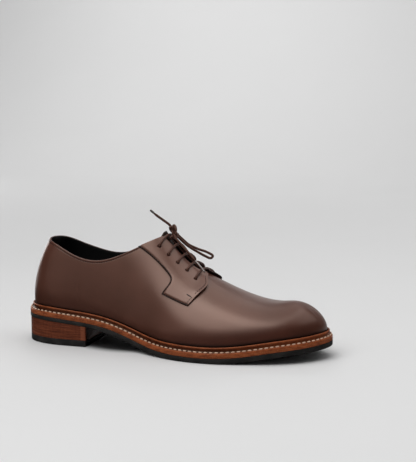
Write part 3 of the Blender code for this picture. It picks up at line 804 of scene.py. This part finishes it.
def upper_points():
    """Lines up the last to the upper's edge, then round part of a circle inward where the edge is cut.

    Near the cut edge the surface swells by the fold and dips at its stitches. Both, and the circle's
    radius, fade to nothing at the end of the slit, where the two sides meet on the ridge.
    """
    turn = np.linspace(0.0, 1.0, UPPER_COLUMNS, endpoint=False)
    edge = edge_climb(turn)
    cut = cut_share(edge)
    radius = FOLD_RADIUS * cut
    pace = edge_pace(turn, edge)
    top = edge - radius / pace
    below = np.array(COLLAR_ROWS) * MM
    low = (top - below[0] / pace)[:, None] * np.linspace(0.0, 1.0, WALL_ROWS, endpoint=False)
    climb = np.concatenate([low, top[:, None] - below / pace[:, None]], axis=1)
    distance = (top[:, None] - climb) * pace[:, None]
    swell = COLLAR_BULGE * np.clip(1 - distance / COLLAR_STITCH, 0.0, 1.0)**0.5
    dip = COLLAR_GROOVE * bell(distance - COLLAR_STITCH, COLLAR_GROOVE_WIDTH)
    last = last_surface(turn[:, None], climb)
    lift = last[..., 2] - LAST_CURVE(turn)[:, None, FEATHER] - BEAD_TOP
    low_start, low_full, high_full, high_end = STIFFENER_SPAN
    upright = smooth_rise(lift, low_start, low_full) * (1 - smooth_rise(lift, high_full, high_end))
    on_edge = upright * bell(last[..., 0] - STIFFENER_ALONG, STIFFENER_WIDTH)
    stiffener = STIFFENER_HEIGHT * on_edge * (turn[:, None] < 0.5)
    wall = last_offset(turn[:, None], climb, cut[:, None] * (swell - dip) + stiffener)
    _, normal, upward = last_frame(turn, top)
    bend = np.radians(np.linspace(0.0, FOLD_BEND, FOLD_ROWS + 1))[1:, None]
    reach = (radius + cut * COLLAR_BULGE / 2)[:, None, None]
    fold = wall[:, -1:] + reach * ((np.cos(bend) - 1) * normal[:, None] + np.sin(bend) * upward[:, None])
    points = pulled_even(np.concatenate([wall, fold], axis=1))
    above_stitches = cut[:, None] * (distance < COLLAR_STITCH)
    on_fold = np.concatenate([above_stitches, np.tile(cut[:, None], FOLD_ROWS)], axis=1)
    return points, *burnish_and_shade_share(points, turn, on_fold)


def brown_leather():
    """Smooth calf: cloudy dye, fine pores, soft waxed gloss; darker and duller where burnished and in
    painted shade.
    """
    material, root, sockets = new_finish("brown_leather", {"Specular IOR Level": 1.0, "IOR": 1.6,
                                                           "Specular Tint": (1.0, 0.74, 0.63, 1.0)})
    cloud = root.noise(28.0, 4.0)
    dye = cloud.clear_step(0.3, 0.7)
    pores = root.noise(1500.0, 2.0) * 0.7 + root.noise(420.0) * 0.3
    grain = pores + root.noise(45.0, 2.0) * 3.0
    feed(sockets, dye.mix(LEATHER_DEEP, LEATHER_BROWN), 0.28 + cloud * 0.08, grain, 0.03 * MM)
    waxed = Shade(root.tree, root.tree.nodes["Principled BSDF"].outputs[0])
    # painted shade: the duller finish turns black in the shadow line just above the bead
    dark = root.attribute("painted_bead_shade").mix(dye.mix(BURNISHED_AND_SHADED_DEEP, BURNISHED_AND_SHADED_BROWN), BEAD_SHADE_BLACK)
    burnished = root.node("BsdfPrincipled", {}, {"Base Color": dark, "Roughness": 0.42,
                                                 "Specular IOR Level": 0.25})
    finish = root.node("MixShader", {}, {0: root.attribute("burnish"), 1: waxed, 2: burnished})
    root.tree.links.new(finish.socket, root.tree.nodes["Material Output"].inputs["Surface"])
    return material


BROWN_LEATHER = brown_leather()
upper_grid, burnish, painted_bead_shade = upper_points()
upper_mesh = skin("upper_leather", upper_grid, (True, False), {"burnish": burnish, "painted_bead_shade": painted_bead_shade})
upper_leather = add_piece("upper_leather", upper_mesh, BROWN_LEATHER, "brown_leather", "upper")
thicken(upper_leather, LEATHER_THICKNESS, -1.0)
collar_half = np.linspace(0.0, FACING_TOP_REAR / 2, COLLAR_SAMPLES)
collar_turn = np.concatenate([1 - collar_half[::-1], collar_half[1:]])
collar_edge = edge_climb(collar_turn)
seam_climb = collar_edge - (FOLD_RADIUS + COLLAR_STITCH) / edge_pace(collar_turn, collar_edge)
collar_line, collar_normal, _ = last_frame(collar_turn, seam_climb)
sew("collar_stitches", collar_line, COLLAR_PITCH, COLLAR_THREAD, BROWN_THREAD, "brown_leather",
    collar_normal)


# Lining: thin black leather glued inside the upper, from the collar's fold down to the insole. The row of
# stitches below the collar holds its top edge.
LINING_DISTANCE = 1.75 * MM
LINING_BELOW_EDGE = 0.2 * MM
LINING_THICKNESS = 0.6 * MM
LINING_ROWS = 40
LINING_BLACK = (0.004, 0.004, 0.004, 1.0)
LINING_SHEEN = (0.008, 0.007, 0.007, 1.0)


def lining_points():
    """Lines up the inside of the upper, at one distance from the last's surface, to just below the fold."""
    turn = np.linspace(0.0, 1.0, UPPER_COLUMNS, endpoint=False)
    edge = edge_climb(turn)
    below = LINING_BELOW_EDGE * cut_share(edge) / edge_pace(turn, edge)
    climb = (edge - below)[:, None] * np.linspace(0.0, 1.0, LINING_ROWS + 1)
    return last_offset(turn[:, None], climb, np.full(climb.shape, -LINING_DISTANCE))


lining_finish = mottled("lining_leather", {"Roughness": 0.75, "Specular IOR Level": 0.2}, (70.0, 1300.0),
                        (LINING_BLACK, LINING_SHEEN))
lining = add_piece("upper_lining", skin("upper_lining", lining_points(), (True, False)), lining_finish,
                   "insole_leather")
thicken(lining, LINING_THICKNESS, 1.0)


# Tongue: a strip of dark brown leather under the throat, sewn to the vamp in front. Its loose top comes up
# between the facings, with its edge turned and sewn.
TONGUE_STATIONS = (0.453, 0.690)
TONGUE_CLIMB = 0.76
TONGUE_CLEARANCE = 1.3 * MM
TONGUE_RISE = 5.8 * MM
TONGUE_LOOSE = (0.25, 0.42)    # shares of its length and half width that rise
TONGUE_THICKNESS = 1.6 * MM
TONGUE_GRID = (90, 48)
TONGUE_SEAM = 5                # lines of the grid from the top edge to the stitches
TONGUE_PITCH = 1.9 * MM
TONGUE_THREAD = (1.3 * MM, 0.6 * MM, 0.5 * MM)
TONGUE_YARN = thread("tongue_thread", (0.110, 0.060, 0.045, 1.0), (0.045, 0.022, 0.016, 1.0))
TONGUE_DARK = (0.016, 0.008, 0.006, 1.0)
TONGUE_LIGHT = (0.034, 0.017, 0.013, 1.0)


def tongue_points():
    """Lines across the ridge inside the upper, lifted by a smooth hump in the middle of the loose top."""
    along, across = TONGUE_GRID
    way = np.linspace(0.0, 1.0, along + 1)[:, None]
    station = TONGUE_STATIONS[0] * (1 - way) + TONGUE_STATIONS[1] * way
    share = np.linspace(-1.0, 1.0, across + 1)
    climb = 1 - np.abs(share) * (1 - TONGUE_CLIMB) + 0 * station
    turn = np.where(share < 0, station / 2, 1 - station / 2)
    loose_length, loose_width = TONGUE_LOOSE
    loose = np.clip(1 - way / loose_length, 0.0, 1.0) * np.clip(1 - (share / loose_width)**4, 0.0, 1.0)
    return last_offset(turn, climb, TONGUE_RISE * loose - UPPER_WALL - TONGUE_CLEARANCE)


tongue_finish = mottled("tongue_leather", {"Roughness": 0.5, "Specular IOR Level": 0.3,
                                           "Specular Tint": (1.0, 0.72, 0.60, 1.0)},
                        (80.0, 1300.0), (TONGUE_DARK, TONGUE_LIGHT))
tongue_sheet = tongue_points()
tongue = add_piece("tongue_strip", skin("tongue_strip", tongue_sheet), tongue_finish, "tongue_leather",
                   "tongue")
thicken(tongue, TONGUE_THICKNESS, -1.0)
sew("tongue_stitches", tongue_sheet[TONGUE_SEAM], TONGUE_PITCH, TONGUE_THREAD, TONGUE_YARN, "tongue_leather")


# Facings: two brown overlays beside the throat, each with five punched eyelets. The rear and lower edges
# are skived, inked and sewn down, and the dark edge dye runs onto a strip of the top beside them as painted
# shade of the seam's groove; the front edge has its own row of stitches, sewn to the vamp below a bar
# tack and free of it above.
Mark = namedtuple("Mark", "station climb")
FACING_TOP_FRONT = 0.462
FACING_THROAT_END = 0.624
FACING_REAR = (Mark(0.441, 0.638), Mark(0.489, 0.624), Mark(0.516, 0.603), Mark(0.522, 0.568),
               Mark(0.509, 0.480), Mark(0.499, 0.424))
FACING_FRONT = (Mark(0.636, 0.880), Mark(0.644, 0.798), Mark(0.616, 0.580), Mark(0.590, 0.447))
EYELETS = (Mark(0.460, 0.765), Mark(0.496, 0.764), Mark(0.531, 0.777), Mark(0.566, 0.786),
           Mark(0.601, 0.763))
EYELET_LEAD = 0.018            # how far the medial eyelets lie in front of the lateral ones
EYELET_RADIUS = 1.75 * MM
FACING_THICKNESS = 1.3 * MM
FACING_GRID = (170, 84)
FACING_INK_AND_SHADE = 1.65 * MM         # width of the dark strip at the sewn edges, edge dye and painted seam shade
FACING_SKIVE = 0.45 * MM       # that the edge is thinned by
FACING_SEAM = 0.75 * MM        # stitches inside the sewn edges
FACING_FRONT_SEAM = 2.3 * MM   # stitches inside the front edge
FACING_LIFT = 1.4 * MM         # of the free front edge over the vamp
FACING_LIFT_WIDTH = 5.0 * MM
FREE_FROM = Mark(0.550, 0.50)  # where the front edge starts to come free
FREE_OVER = Mark(0.060, 0.12)  # how much farther on it is quite free
INKED = 0.5                    # share of the dark edge mark, dye and painted shade, from which a face takes the edge colour
FACING_BREAK = 0.3 * MM        # bevel of its corners that are sharper than an angle in degrees
FACING_BREAK_ANGLE = 60.0
FACING_PITCH = 2.5 * MM
FACING_THREAD = (2.0 * MM, 0.65 * MM, 0.55 * MM)
FREE_EDGE_THREAD = thread("leather_thread", (0.095, 0.036, 0.025, 1.0), (0.040, 0.015, 0.010, 1.0))
BAR_TACK = (Mark(0.583, 0.548), Mark(0.600, 0.541))
BAR_TACK_SIZE = (6.4 * MM, 1.3 * MM, 0.9 * MM)
# edge dye on the cut edges and hole walls, also painted shade on the top strip beside the sewn edges
EDGE_DYE = (0.016, 0.0065, 0.004, 1.0)
EDGE_WORN = (0.032, 0.013, 0.008, 1.0)


def on_side(station, medial):
    """Place round the feather line of a station on the lateral or the medial side."""
    half = np.asarray(station) / 2
    return 1 - half if medial else half


def smooth_line(marks, count):
    """Evenly spaced places along a smooth curve through points, or through marks of the pattern."""
    marks = np.array(marks)
    drawn = way_along(marks)
    return spline(drawn / drawn[-1], marks)(np.linspace(0.0, 1.0, count))


def facing_pattern(medial, grid):
    """Stations and climbs of the overlay: lines from its rear to its front edge, below the collar's edge."""
    down, across = grid

    def upper_edge(stations):
        return [Mark(station, float(edge_climb(on_side(station, medial)))) for station in stations]

    rear = smooth_line([*upper_edge([FACING_TOP_REAR]), *FACING_REAR], down + 1)
    throat = upper_edge(np.linspace(FACING_TOP_FRONT, FACING_THROAT_END, len(EYELETS) + 1))
    front = smooth_line([*throat, *FACING_FRONT], down + 1)
    share = np.linspace(0.0, 1.0, across + 1)[:, None]
    pattern = rear[:, None] * (1 - share) + front[:, None] * share
    top = np.linspace(FACING_TOP_REAR, FACING_TOP_FRONT, across + 1)
    collar_dip = edge_climb(on_side(top, medial)) - pattern[0, :, 1]
    collar_share = 0.25
    fade = np.clip(1 - np.linspace(0.0, 1.0, down + 1) / collar_share, 0.0, 1.0)
    pattern[..., 1] += fade[:, None] * collar_dip
    return pattern


def nearest(points, line):
    """Distance of each point from the nearest point of a line."""
    return np.linalg.norm(points[..., None, :] - line, axis=-1).min(axis=-1)


def sewn_edge(sheet):
    """Rear edge of the overlay's grid and then its lower edge, as one line."""
    return np.concatenate([sheet[:, 0], sheet[-1, 1:]])


def facing_sheet(medial):
    """Overlay on the last, thinned toward the sewn edges and standing off the vamp at the free front edge.

    Returns the pattern, the points, their normals and how much of the dark edge mark, dye and painted
    seam shade, each point carries.
    """
    pattern = facing_pattern(medial, FACING_GRID)
    station, climb = pattern[..., 0], pattern[..., 1]
    point, normal, _ = last_frame(on_side(station, medial), climb)
    ink_and_shade = np.clip(1 - nearest(point, sewn_edge(point)) / (2 * FACING_INK_AND_SHADE), 0.0, 1.0)
    free = (np.clip((station - FREE_FROM.station) / FREE_OVER.station, 0.0, 1.0)
            * np.clip((climb - FREE_FROM.climb) / FREE_OVER.climb, 0.0, 1.0))
    stand = FACING_LIFT * free * bell(nearest(point, point[:, -1]), FACING_LIFT_WIDTH)
    thinned = FACING_SKIVE * np.clip(ink_and_shade / INKED, 0.0, 1.0)**2
    return pattern, point + normal * (GAP + stand - thinned)[..., None], normal, ink_and_shade


def ink_and_shade_faces(mesh):
    """Gives the second material, the edge dye that also paints the seam's shade, to the faces that carry it.
    """
    ink_and_shade = np.empty(len(mesh.vertices), np.float32)
    corners = np.empty(len(mesh.loops), np.int32)
    mesh.attributes["ink_and_shade"].data.foreach_get("value", ink_and_shade)
    mesh.loops.foreach_get("vertex_index", corners)
    inked = ink_and_shade[corners].reshape(-1, 4).mean(axis=1) > INKED
    mesh.polygons.foreach_set("material_index", inked.astype(np.int32))


def punch(piece, places, directions, radius):
    """Cuts round holes through a piece, a cylinder along each direction, and applies all its modifiers."""
    depth, sides = 4.0 * MM, 20
    ring = np.linspace(0.0, 2 * np.pi, sides, endpoint=False)[:, None]
    side = unit(np.cross(directions, [1.0, 0.0, 0.0]))[:, None]
    axis = directions[:, None]
    rim = places[:, None] - CENTRE + radius * (np.cos(ring) * side + np.sin(ring) * np.cross(axis, side))
    number = np.arange(2 * len(places) * sides).reshape(len(places), 2, sides)
    turned = np.roll(number, -1, axis=2)
    walls = np.stack([number[:, 0], turned[:, 0], turned[:, 1], number[:, 1]], axis=-1).reshape(-1, 4)
    mesh = bpy.data.meshes.new("punches")
    mesh.from_pydata(np.stack([rim - axis * depth, rim + axis * depth], axis=1).reshape(-1, 3).tolist(), [],
                     walls.tolist() + number.reshape(-1, sides).tolist())
    form = bmesh.new()
    form.from_mesh(mesh)
    bmesh.ops.recalc_face_normals(form, faces=form.faces)
    form.to_mesh(mesh)
    form.free()
    for material in piece.data.materials:
        mesh.materials.append(material)
    mesh.polygons.foreach_set("material_index", np.ones(len(mesh.polygons), np.int32))
    punches = bpy.data.objects.new("punches", mesh)
    bpy.context.scene.collection.objects.link(punches)
    cut = piece.modifiers.new("Eyelets", "BOOLEAN")
    cut.object = punches
    cut.solver = "EXACT"
    shaped = bpy.data.meshes.new_from_object(piece.evaluated_get(bpy.context.evaluated_depsgraph_get()))
    piece.modifiers.clear()
    piece.data = shaped
    bpy.data.objects.remove(punches)


def beside_edge(edge, normal, inner, distance):
    """The edge moved a distance toward an inner line of the sheet, without what crowds into its corners."""
    inward = np.cross(normal, unit(np.gradient(edge, axis=0)))
    inward *= np.sign((inward * (inner - edge)).sum(axis=-1, keepdims=True))
    moved = edge + inward * distance
    least = 0.96 * distance
    clear = nearest(moved, edge) > least
    return moved[clear], normal[clear]


# painted shade: this dark finish also covers the top strip along the sewn edges
INKED_EDGE_AND_SHADE = mottled("inked_edge_and_shade", {"Roughness": 0.6, "Specular IOR Level": 0.12}, (700.0, 1800.0),
                     (EDGE_DYE, EDGE_WORN), depth=0.05 * MM)
for side_name, medial in (("lateral", False), ("medial", True)):
    name = f"facing_{side_name}_leather"
    pattern, sheet, normal, ink_and_shade = facing_sheet(medial)
    order = slice(None, None, -1 if medial else 1)
    marks = {"burnish": np.zeros(ink_and_shade.shape), "ink_and_shade": ink_and_shade[order]}
    overlay = add_piece(name, skin(name, sheet[order], marks=marks), BROWN_LEATHER, "brown_leather",
                        f"facing_{side_name}")
    overlay.data.materials.append(INKED_EDGE_AND_SHADE)
    ink_and_shade_faces(overlay.data)
    thicken(overlay, FACING_THICKNESS, 1.0)
    overlay.modifiers["Thickness"].material_offset_rim = 1
    soften = overlay.modifiers.new("Broken edge", "BEVEL")
    soften.width = FACING_BREAK
    soften.segments = 2
    soften.limit_method = "ANGLE"
    soften.angle_limit = np.radians(FACING_BREAK_ANGLE)
    eyelets = np.array(EYELETS)
    holes, directions, _ = last_frame(on_side(eyelets[:, 0] + EYELET_LEAD * medial, medial), eyelets[:, 1])
    punch(overlay, holes, directions, EYELET_RADIUS)

    top = sheet + normal * FACING_THICKNESS
    inner = np.concatenate([top[:, 1], top[-2, 1:]])
    sewn = beside_edge(sewn_edge(top), sewn_edge(normal), inner, FACING_SEAM)
    station, climb = pattern[:, -1, 0], pattern[:, -1, 1]
    below_tack = climb < BAR_TACK[1].climb
    above_tack = ~below_tack & (station > FACING_FRONT[2].station) & (climb < FACING_FRONT[0].climb)
    front, free = (beside_edge(top[part, -1], normal[part, -1], top[part, -2], FACING_FRONT_SEAM)
                   for part in (below_tack, above_tack))
    for row_name, (line, upright), yarn in (("sewn", sewn, BROWN_THREAD), ("front", front, BROWN_THREAD),
                                            ("free", free, FREE_EDGE_THREAD)):
        sew(f"facing_{side_name}_{row_name}_stitches", line, FACING_PITCH, FACING_THREAD, yarn,
            "brown_leather", upright)

    tack = np.array(BAR_TACK)
    ends, upright, _ = last_frame(on_side(tack[:, 0], medial), tack[:, 1])
    ends = ends + upright * (GAP + FACING_THICKNESS)
    tack_name = f"facing_{side_name}_tack"
    tack_mesh = stitch_row(tack_name, ends.mean(axis=0)[None], unit(ends[1] - ends[0])[None],
                           upright.mean(axis=0)[None], BAR_TACK_SIZE)
    add_piece(tack_name, tack_mesh, BROWN_THREAD, "brown_leather")


# Lace: one round waxed cord in dark brown. Five bars lie over the throat from eyelet to eyelet; above
# the top bar it is tied in a half bow with one loop, one end up and one end down the throat.
LACE_DIAMETER = 2.4 * MM
LACE_SIDES = 12
Curl = namedtuple("Curl", "name nodes centre size roll")
KNOT_CURLS = (Curl("lace_knot_cord", ("lace_knot",), (141.3, 0.0, 110.4), 1.0, 0.30),
              Curl("lace_knot_under_cord", (), (142.2, -0.8, 105.4), 0.8, -0.9))
LOOP_ROUTE = ((144.3, 3.2, 105.9), (146.6, 4.8, 103.2), (149.8, 6.8, 99.7), (153.4, 9.2, 96.0),
              (157.8, 12.0, 93.3), (162.4, 14.6, 91.0), (167.0, 17.0, 89.2), (171.0, 18.8, 87.0),
              (173.6, 19.4, 84.6), (172.4, 18.6, 83.0), (168.8, 16.6, 84.0), (165.0, 14.2, 86.4),
              (161.4, 11.6, 89.1), (157.8, 9.0, 91.8), (154.2, 6.4, 94.8), (150.2, 3.8, 98.8),
              (147.2, 1.8, 102.4), (145.0, 0.2, 105.0))
END_UP_ROUTE = ((137.6, -0.6, 115.4), (134.6, -1.6, 118.0), (131.0, -3.2, 120.9), (127.4, -5.2, 123.9),
                (124.2, -7.6, 127.2), (121.6, -10.0, 130.4))
END_DOWN_ROUTE = ((144.6, -3.4, 103.8), (147.4, -3.8, 101.0), (150.8, -4.2, 97.8), (154.6, -4.8, 94.2),
                  (160.2, -5.8, 89.0), (166.2, -7.4, 83.5), (171.6, -9.2, 78.9), (176.4, -10.8, 74.0))
LACE_BROWN = (0.125, 0.054, 0.039, 1.0)
LACE_DARK_AND_SHADE = (0.036, 0.015, 0.011, 1.0)
BRAID_PITCH = 1.5 * MM
STRANDS = 6
CAP_ROWS = (0.0, 0.03, 0.12, 0.28, 0.5, 0.75)     # of a round end, as shares of the radius
BAR_LIFT = 2 * GAP + FACING_THICKNESS + LACE_DIAMETER / 2
BarPoint = namedtuple("BarPoint", "share lift")
BAR_HALF = (BarPoint(1.0, -2.2 * MM), BarPoint(1.0, 0.6 * MM), BarPoint(0.97, 2.2 * MM),
            BarPoint(0.86, BAR_LIFT), BarPoint(0.6, BAR_LIFT), BarPoint(0.3, BAR_LIFT))
BAR_LINE = 90
KNOT_LINE = 150
KNOT_SPREAD = (0.96 * MM, 2.05 * MM, 2.0 * MM)    # across, upward, in depth
KNOT_FACING = 0.336                               # radians that the knot's face is turned from the side
AGLET_GREY = (0.46, 0.41, 0.39, 1.0)
AGLET_DULL = (0.24, 0.21, 0.20, 1.0)


def tube(name, line, diameter, reference, looped=False):
    """Circle carried along a line, closed at round ends or into a loop.

    The diameter is one length or one for each point. reference is a direction, or one for each point,
    that the circle's first axis stays square to.
    The marks are the way along, in metres, and a wave round the cord for each strand of its braid.
    """
    step = np.roll(line, -1, axis=0) - np.roll(line, 1, axis=0) if looped else np.gradient(line, axis=0)
    tangent = unit(step)
    side = unit(np.cross(tangent, np.asarray(reference)))
    up = np.cross(side, tangent)
    ring = np.linspace(0.0, 2 * np.pi, LACE_SIDES, endpoint=False)[:, None]
    drawn = way_along(line)
    radius = np.broadcast_to(np.asarray(diameter) / 2, len(line))
    ends = np.minimum(np.minimum(drawn, drawn[-1] - drawn) / radius, 1.0)
    girth = radius if looped else radius * np.sqrt(1 - (1 - ends)**2)
    around = np.cos(ring) * side[:, None] + np.sin(ring) * up[:, None]
    points = line[:, None] + girth[:, None, None] * around
    marks = {"way": np.broadcast_to(drawn[:, None], points.shape[:2]),
             "strand": np.broadcast_to(np.cos(STRANDS * ring[:, 0]), points.shape[:2])}
    return skin(name, points, (looped, True), marks)


def rounded_ends(line, diameter):
    """The line with more points near its ends, for their round caps."""
    share = np.linspace(0.0, 1.0, len(line))
    end = diameter / 2 / way_along(line)[-1]
    cap = np.array(CAP_ROWS) * end
    middle = share[(share > end) & (share < 1 - end)]
    places = np.concatenate([cap, middle, 1 - cap[::-1]])
    return np.stack([np.interp(places, share, axis) for axis in line.T], axis=-1)


def waxed_cord():
    """Round braid, waxed: small pillows along and round the cord, with painted shade between them."""
    material, root, sockets = new_finish("lace_cord", {"Specular IOR Level": 0.5, "Roughness": 0.45,
                                                       "Specular Tint": (1.0, 0.72, 0.60, 1.0)})
    turns = root.attribute("way") * (2 * np.pi / BRAID_PITCH)
    pillows = (root.math("COSINE", turns, 0.0) + root.attribute("strand")) * 0.25 + 0.5
    # painted shade: darker where the pillows are low, mixed with a random tone
    colour = (pillows * 0.6 + root.noise(300.0) * 0.4).clear_step(0.2, 0.75).mix(LACE_DARK_AND_SHADE, LACE_BROWN)
    feed(sockets, colour, height=pillows, depth=0.12 * MM)
    return material


def aglet_finish():
    """Crimped metal tip, dulled by handling."""
    material, root, sockets = new_finish("aglet_metal", {"Metallic": 0.85})
    wear = root.noise(700.0, 4.0)
    feed(sockets, wear.mix(AGLET_DULL, AGLET_GREY), 0.26 + wear * 0.16, wear, 0.03 * MM)
    return material


def bar_line(eyelet):
    """Line of one bar: up out of the lateral eyelet, over both facings and down into the medial one."""
    half = np.array(BAR_HALF)
    share = np.concatenate([-half[:, 0], [0.0], half[::-1, 0]])
    lift = np.concatenate([half[:, 1], [BAR_LIFT], half[::-1, 1]])
    climb = 1 - np.abs(share) * (1 - eyelet.climb)
    station = eyelet.station + EYELET_LEAD * (1 + share) / 2
    turn = np.where(share < 0, station / 2, 1 - station / 2)
    return rounded_ends(smooth_line(last_offset(turn, climb, lift), BAR_LINE), LACE_DIAMETER)


def knot_line(curl, count):
    """A tight overhand turn: three lobes that pass over and under each other, closed into itself."""
    turn = np.linspace(0.0, 2 * np.pi, count, endpoint=False)[:, None]
    across, upward, deep = np.array(KNOT_SPREAD) * curl.size
    width = across * (np.sin(turn) + 2 * np.sin(2 * turn))
    height = upward * (np.cos(turn) - 2 * np.cos(2 * turn))
    forward = np.array([np.cos(KNOT_FACING), np.sin(KNOT_FACING), 0.0])
    inward = np.array([-np.sin(KNOT_FACING), np.cos(KNOT_FACING), 0.0])
    right = forward * np.cos(curl.roll) + np.array([0.0, 0.0, np.sin(curl.roll)])
    top = np.cross(right, inward)
    return np.array(curl.centre) * MM + width * right + height * top - deep * np.sin(3 * turn) * inward


LACE_CORD = waxed_cord()
AGLET_METAL = aglet_finish()
for number, eyelet in enumerate(EYELETS, start=1):
    name = f"lace_bar_{number}_cord"
    bar = tube(name, bar_line(eyelet), LACE_DIAMETER, (1.0, 0.0, 0.0))
    add_piece(name, bar, LACE_CORD, "lace_cord", f"lace_bar_{number}")

knot = []
for curl in KNOT_CURLS:
    turns = knot_line(curl, KNOT_LINE)
    curl_mesh = tube(curl.name, turns, LACE_DIAMETER, turns - np.array(curl.centre) * MM, looped=True)
    knot.append(add_piece(curl.name, curl_mesh, LACE_CORD, "lace_cord", *curl.nodes))

Tied = namedtuple("Tied", "name route inside aglet_length aglet_diameter")
CORD_LINE, AGLET_LINE = 110, 24
CORD_TOP = (0.2, 1.0, 0.1)     # direction that the tied cords' sections are square to
AGLET_WALL = 0.15 * MM
AGLET_NECK = 3.0 * MM          # length over which the cord narrows into its tip
for tied in (Tied("lace_loop", LOOP_ROUTE, (142.6, 1.6, 108.0), 0.0, 0.0),
             Tied("lace_end_up", END_UP_ROUTE, (141.0, 0.5, 109.0), 6.0 * MM, 2.1 * MM),
             Tied("lace_end_down", END_DOWN_ROUTE, (142.0, -1.5, 107.4), 15.5 * MM, 1.5 * MM)):
    line = smooth_line(np.array((tied.inside, *tied.route)) * MM, CORD_LINE)
    drawn = way_along(line)
    name = f"{tied.name}_cord"
    cord_line = rounded_ends(line, LACE_DIAMETER)
    girth = np.full(len(cord_line), LACE_DIAMETER)
    if tied.aglet_length:
        left = drawn[-1] - way_along(cord_line)
        narrowed = 1 - smooth_rise(left, tied.aglet_length, tied.aglet_length + AGLET_NECK)
        girth += (tied.aglet_diameter - 2 * AGLET_WALL - LACE_DIAMETER) * narrowed
    made = add_piece(name, tube(name, cord_line, girth, CORD_TOP), LACE_CORD, "lace_cord", tied.name)
    on_cord = list(knot)
    if tied.aglet_length:
        sleeve = smooth_line(line[drawn > drawn[-1] - tied.aglet_length], AGLET_LINE)
        sleeve = rounded_ends(sleeve, tied.aglet_diameter)
        sleeve_name = f"{tied.name}_aglet"
        sleeve_mesh = tube(sleeve_name, sleeve, tied.aglet_diameter, CORD_TOP)
        on_cord = [add_piece(sleeve_name, sleeve_mesh, AGLET_METAL, "lace_cord")]
    line[0] - CENTRE
    (line - CENTRE).tolist()


# Stage: a pale sweep of paper under and behind the shoe, soft boxes over and round it, and the camera.
# It isn't part of the shoe.
EYE = np.array([559.7244, -1100.3707, 279.14]) * MM     # from the back of the feather line
YAW, PITCH = 0.3359, 0.1429
FOCAL_PIXELS, FRAME_PIXELS, SENSOR = 1264.07, 462.0, 36.0
PAPER_LIGHT = (0.79, 0.79, 0.79, 1.0)
PAPER_DARK = (0.76, 0.76, 0.76, 1.0)
CONTACT_DARK = (0.05, 0.05, 0.05, 1.0)     # paper in the deep shadow under the arch
CONTACT_PLACE, CONTACT_HALF = (-0.050, 0.002, 0.0), (0.056, 0.046, 1.0)
CONTACT_CORE = 0.55                        # share of that patch that is fully dark
FRONT_END, FLOOR_END, BEND_START, BEND, WALL_TOP = 0.12, 1.2, 1.5, 1.2, 3.5
ROOM_HALF = 4.0
ROOM_LIGHT = 0.14
SLANT = (-0.739, 0.397, -0.546)            # direction of the upper boxes' first sides


def sweep_points(depth, height):
    """A line of depths and heights carried straight across, as wide as the room."""
    grid = np.zeros((2, len(depth), 3))
    grid[..., 0] = np.array([-ROOM_HALF, ROOM_HALF])[:, None]
    grid[..., 1] = depth
    grid[..., 2] = height
    return grid + CENTRE


bend_turn = np.radians(np.linspace(0.0, 90.0, 24))
paper, paper_root, paper_sockets = new_finish("paper", {"Roughness": 0.9})
under_arch = paper_root.node("Mapping", {"vector_type": "TEXTURE"}, {
    "Vector": paper_root.place(), "Location": CONTACT_PLACE, "Scale": CONTACT_HALF})
away = paper_root.node("VectorMath", {"operation": "LENGTH"}, {0: under_arch}, output=1)
lit_paper = paper_root.noise(3.0).mix(PAPER_DARK, PAPER_LIGHT)
feed(paper_sockets, away.clear_step(CONTACT_CORE, 1.0).mix(CONTACT_DARK, lit_paper))
wall_depth = np.concatenate([[FLOOR_END], BEND_START + BEND * np.sin(bend_turn), [BEND_START + BEND]])
wall_height = np.concatenate([[0.0], BEND * (1 - np.cos(bend_turn)), [WALL_TOP]])
for name, depth, height in (("paper_front", np.array([-ROOM_HALF, FRONT_END]), np.zeros(2)),
                            ("paper_floor", np.array([FRONT_END, FLOOR_END]), np.zeros(2)),
                            ("paper_wall", wall_depth, wall_height)):
    sheet = bpy.data.objects.new(name, skin(name, sweep_points(depth, height)))
    sheet.data.materials.append(paper)
    sheet.visible_glossy = name != "paper_front"
    bpy.context.scene.collection.objects.link(sheet)


def soft_box(name, place, aim, size, power, edge=(1.0, 0.0, 0.0), lights=True, mirrored=True):
    """Area light at a place, facing another, its first side along an edge direction.

    It lights what is matte, is mirrored in gloss, or both.
    """
    lamp = bpy.data.lights.new(name, "AREA")
    lamp.shape = "RECTANGLE"
    lamp.size, lamp.size_y = size
    lamp.energy = power
    made = bpy.data.objects.new(name, lamp)
    made.visible_diffuse = lights
    made.visible_glossy = mirrored
    back = unit(np.array(place) - np.array(aim))
    top = unit(np.cross(back, np.array(edge)))
    axes = np.column_stack([np.cross(top, back), top, back, place])
    made.matrix_world = np.vstack([axes, [0.0, 0.0, 0.0, 1.0]]).T.tolist()
    bpy.context.scene.collection.objects.link(made)


soft_box("key", (-0.215, -0.858, 1.308), (0.512, -0.815, 0.355), (1.4, 1.6), 14.6, SLANT)
soft_box("top", (0.119, 0.684, 1.633), (0.846, 0.720, 0.680), (1.6, 2.8), 11.0, SLANT)
soft_box("front", (-1.09, -1.90, 0.35), (0.0, 0.0, 0.08), (2.6, 1.2), 2.0, lights=False)
soft_box("fill", (0.86, 0.31, 1.31), (0.10, 0.0, 0.05), (1.2, 1.2), 4.6)
soft_box("rim", (-1.25, 0.96, 0.35), (-0.14, 0.0, 0.08), (0.8, 1.0), 7.0, lights=False)
soft_box("backdrop", (-0.86, 1.75, 1.5), (-0.86, 2.1, 0.0), (1.0, 1.0), 14.5, mirrored=False)
world = bpy.data.worlds.new("room")
world.use_nodes = True
world.node_tree.nodes["Background"].inputs["Color"].default_value = (1.0, 1.0, 1.0, 1.0)
world.node_tree.nodes["Background"].inputs["Strength"].default_value = ROOM_LIGHT
world.cycles_visibility.glossy = False
bpy.context.scene.world = world
bpy.context.scene.view_settings.view_transform = "Standard"

lens = bpy.data.cameras.new("camera")
lens.sensor_width = SENSOR
lens.lens = FOCAL_PIXELS / FRAME_PIXELS * SENSOR
camera = bpy.data.objects.new("camera", lens)
camera.location = EYE - CENTRE
camera.rotation_euler = (np.pi / 2 - PITCH, 0.0, YAW)
bpy.context.scene.collection.objects.link(camera)
bpy.context.scene.camera = camera
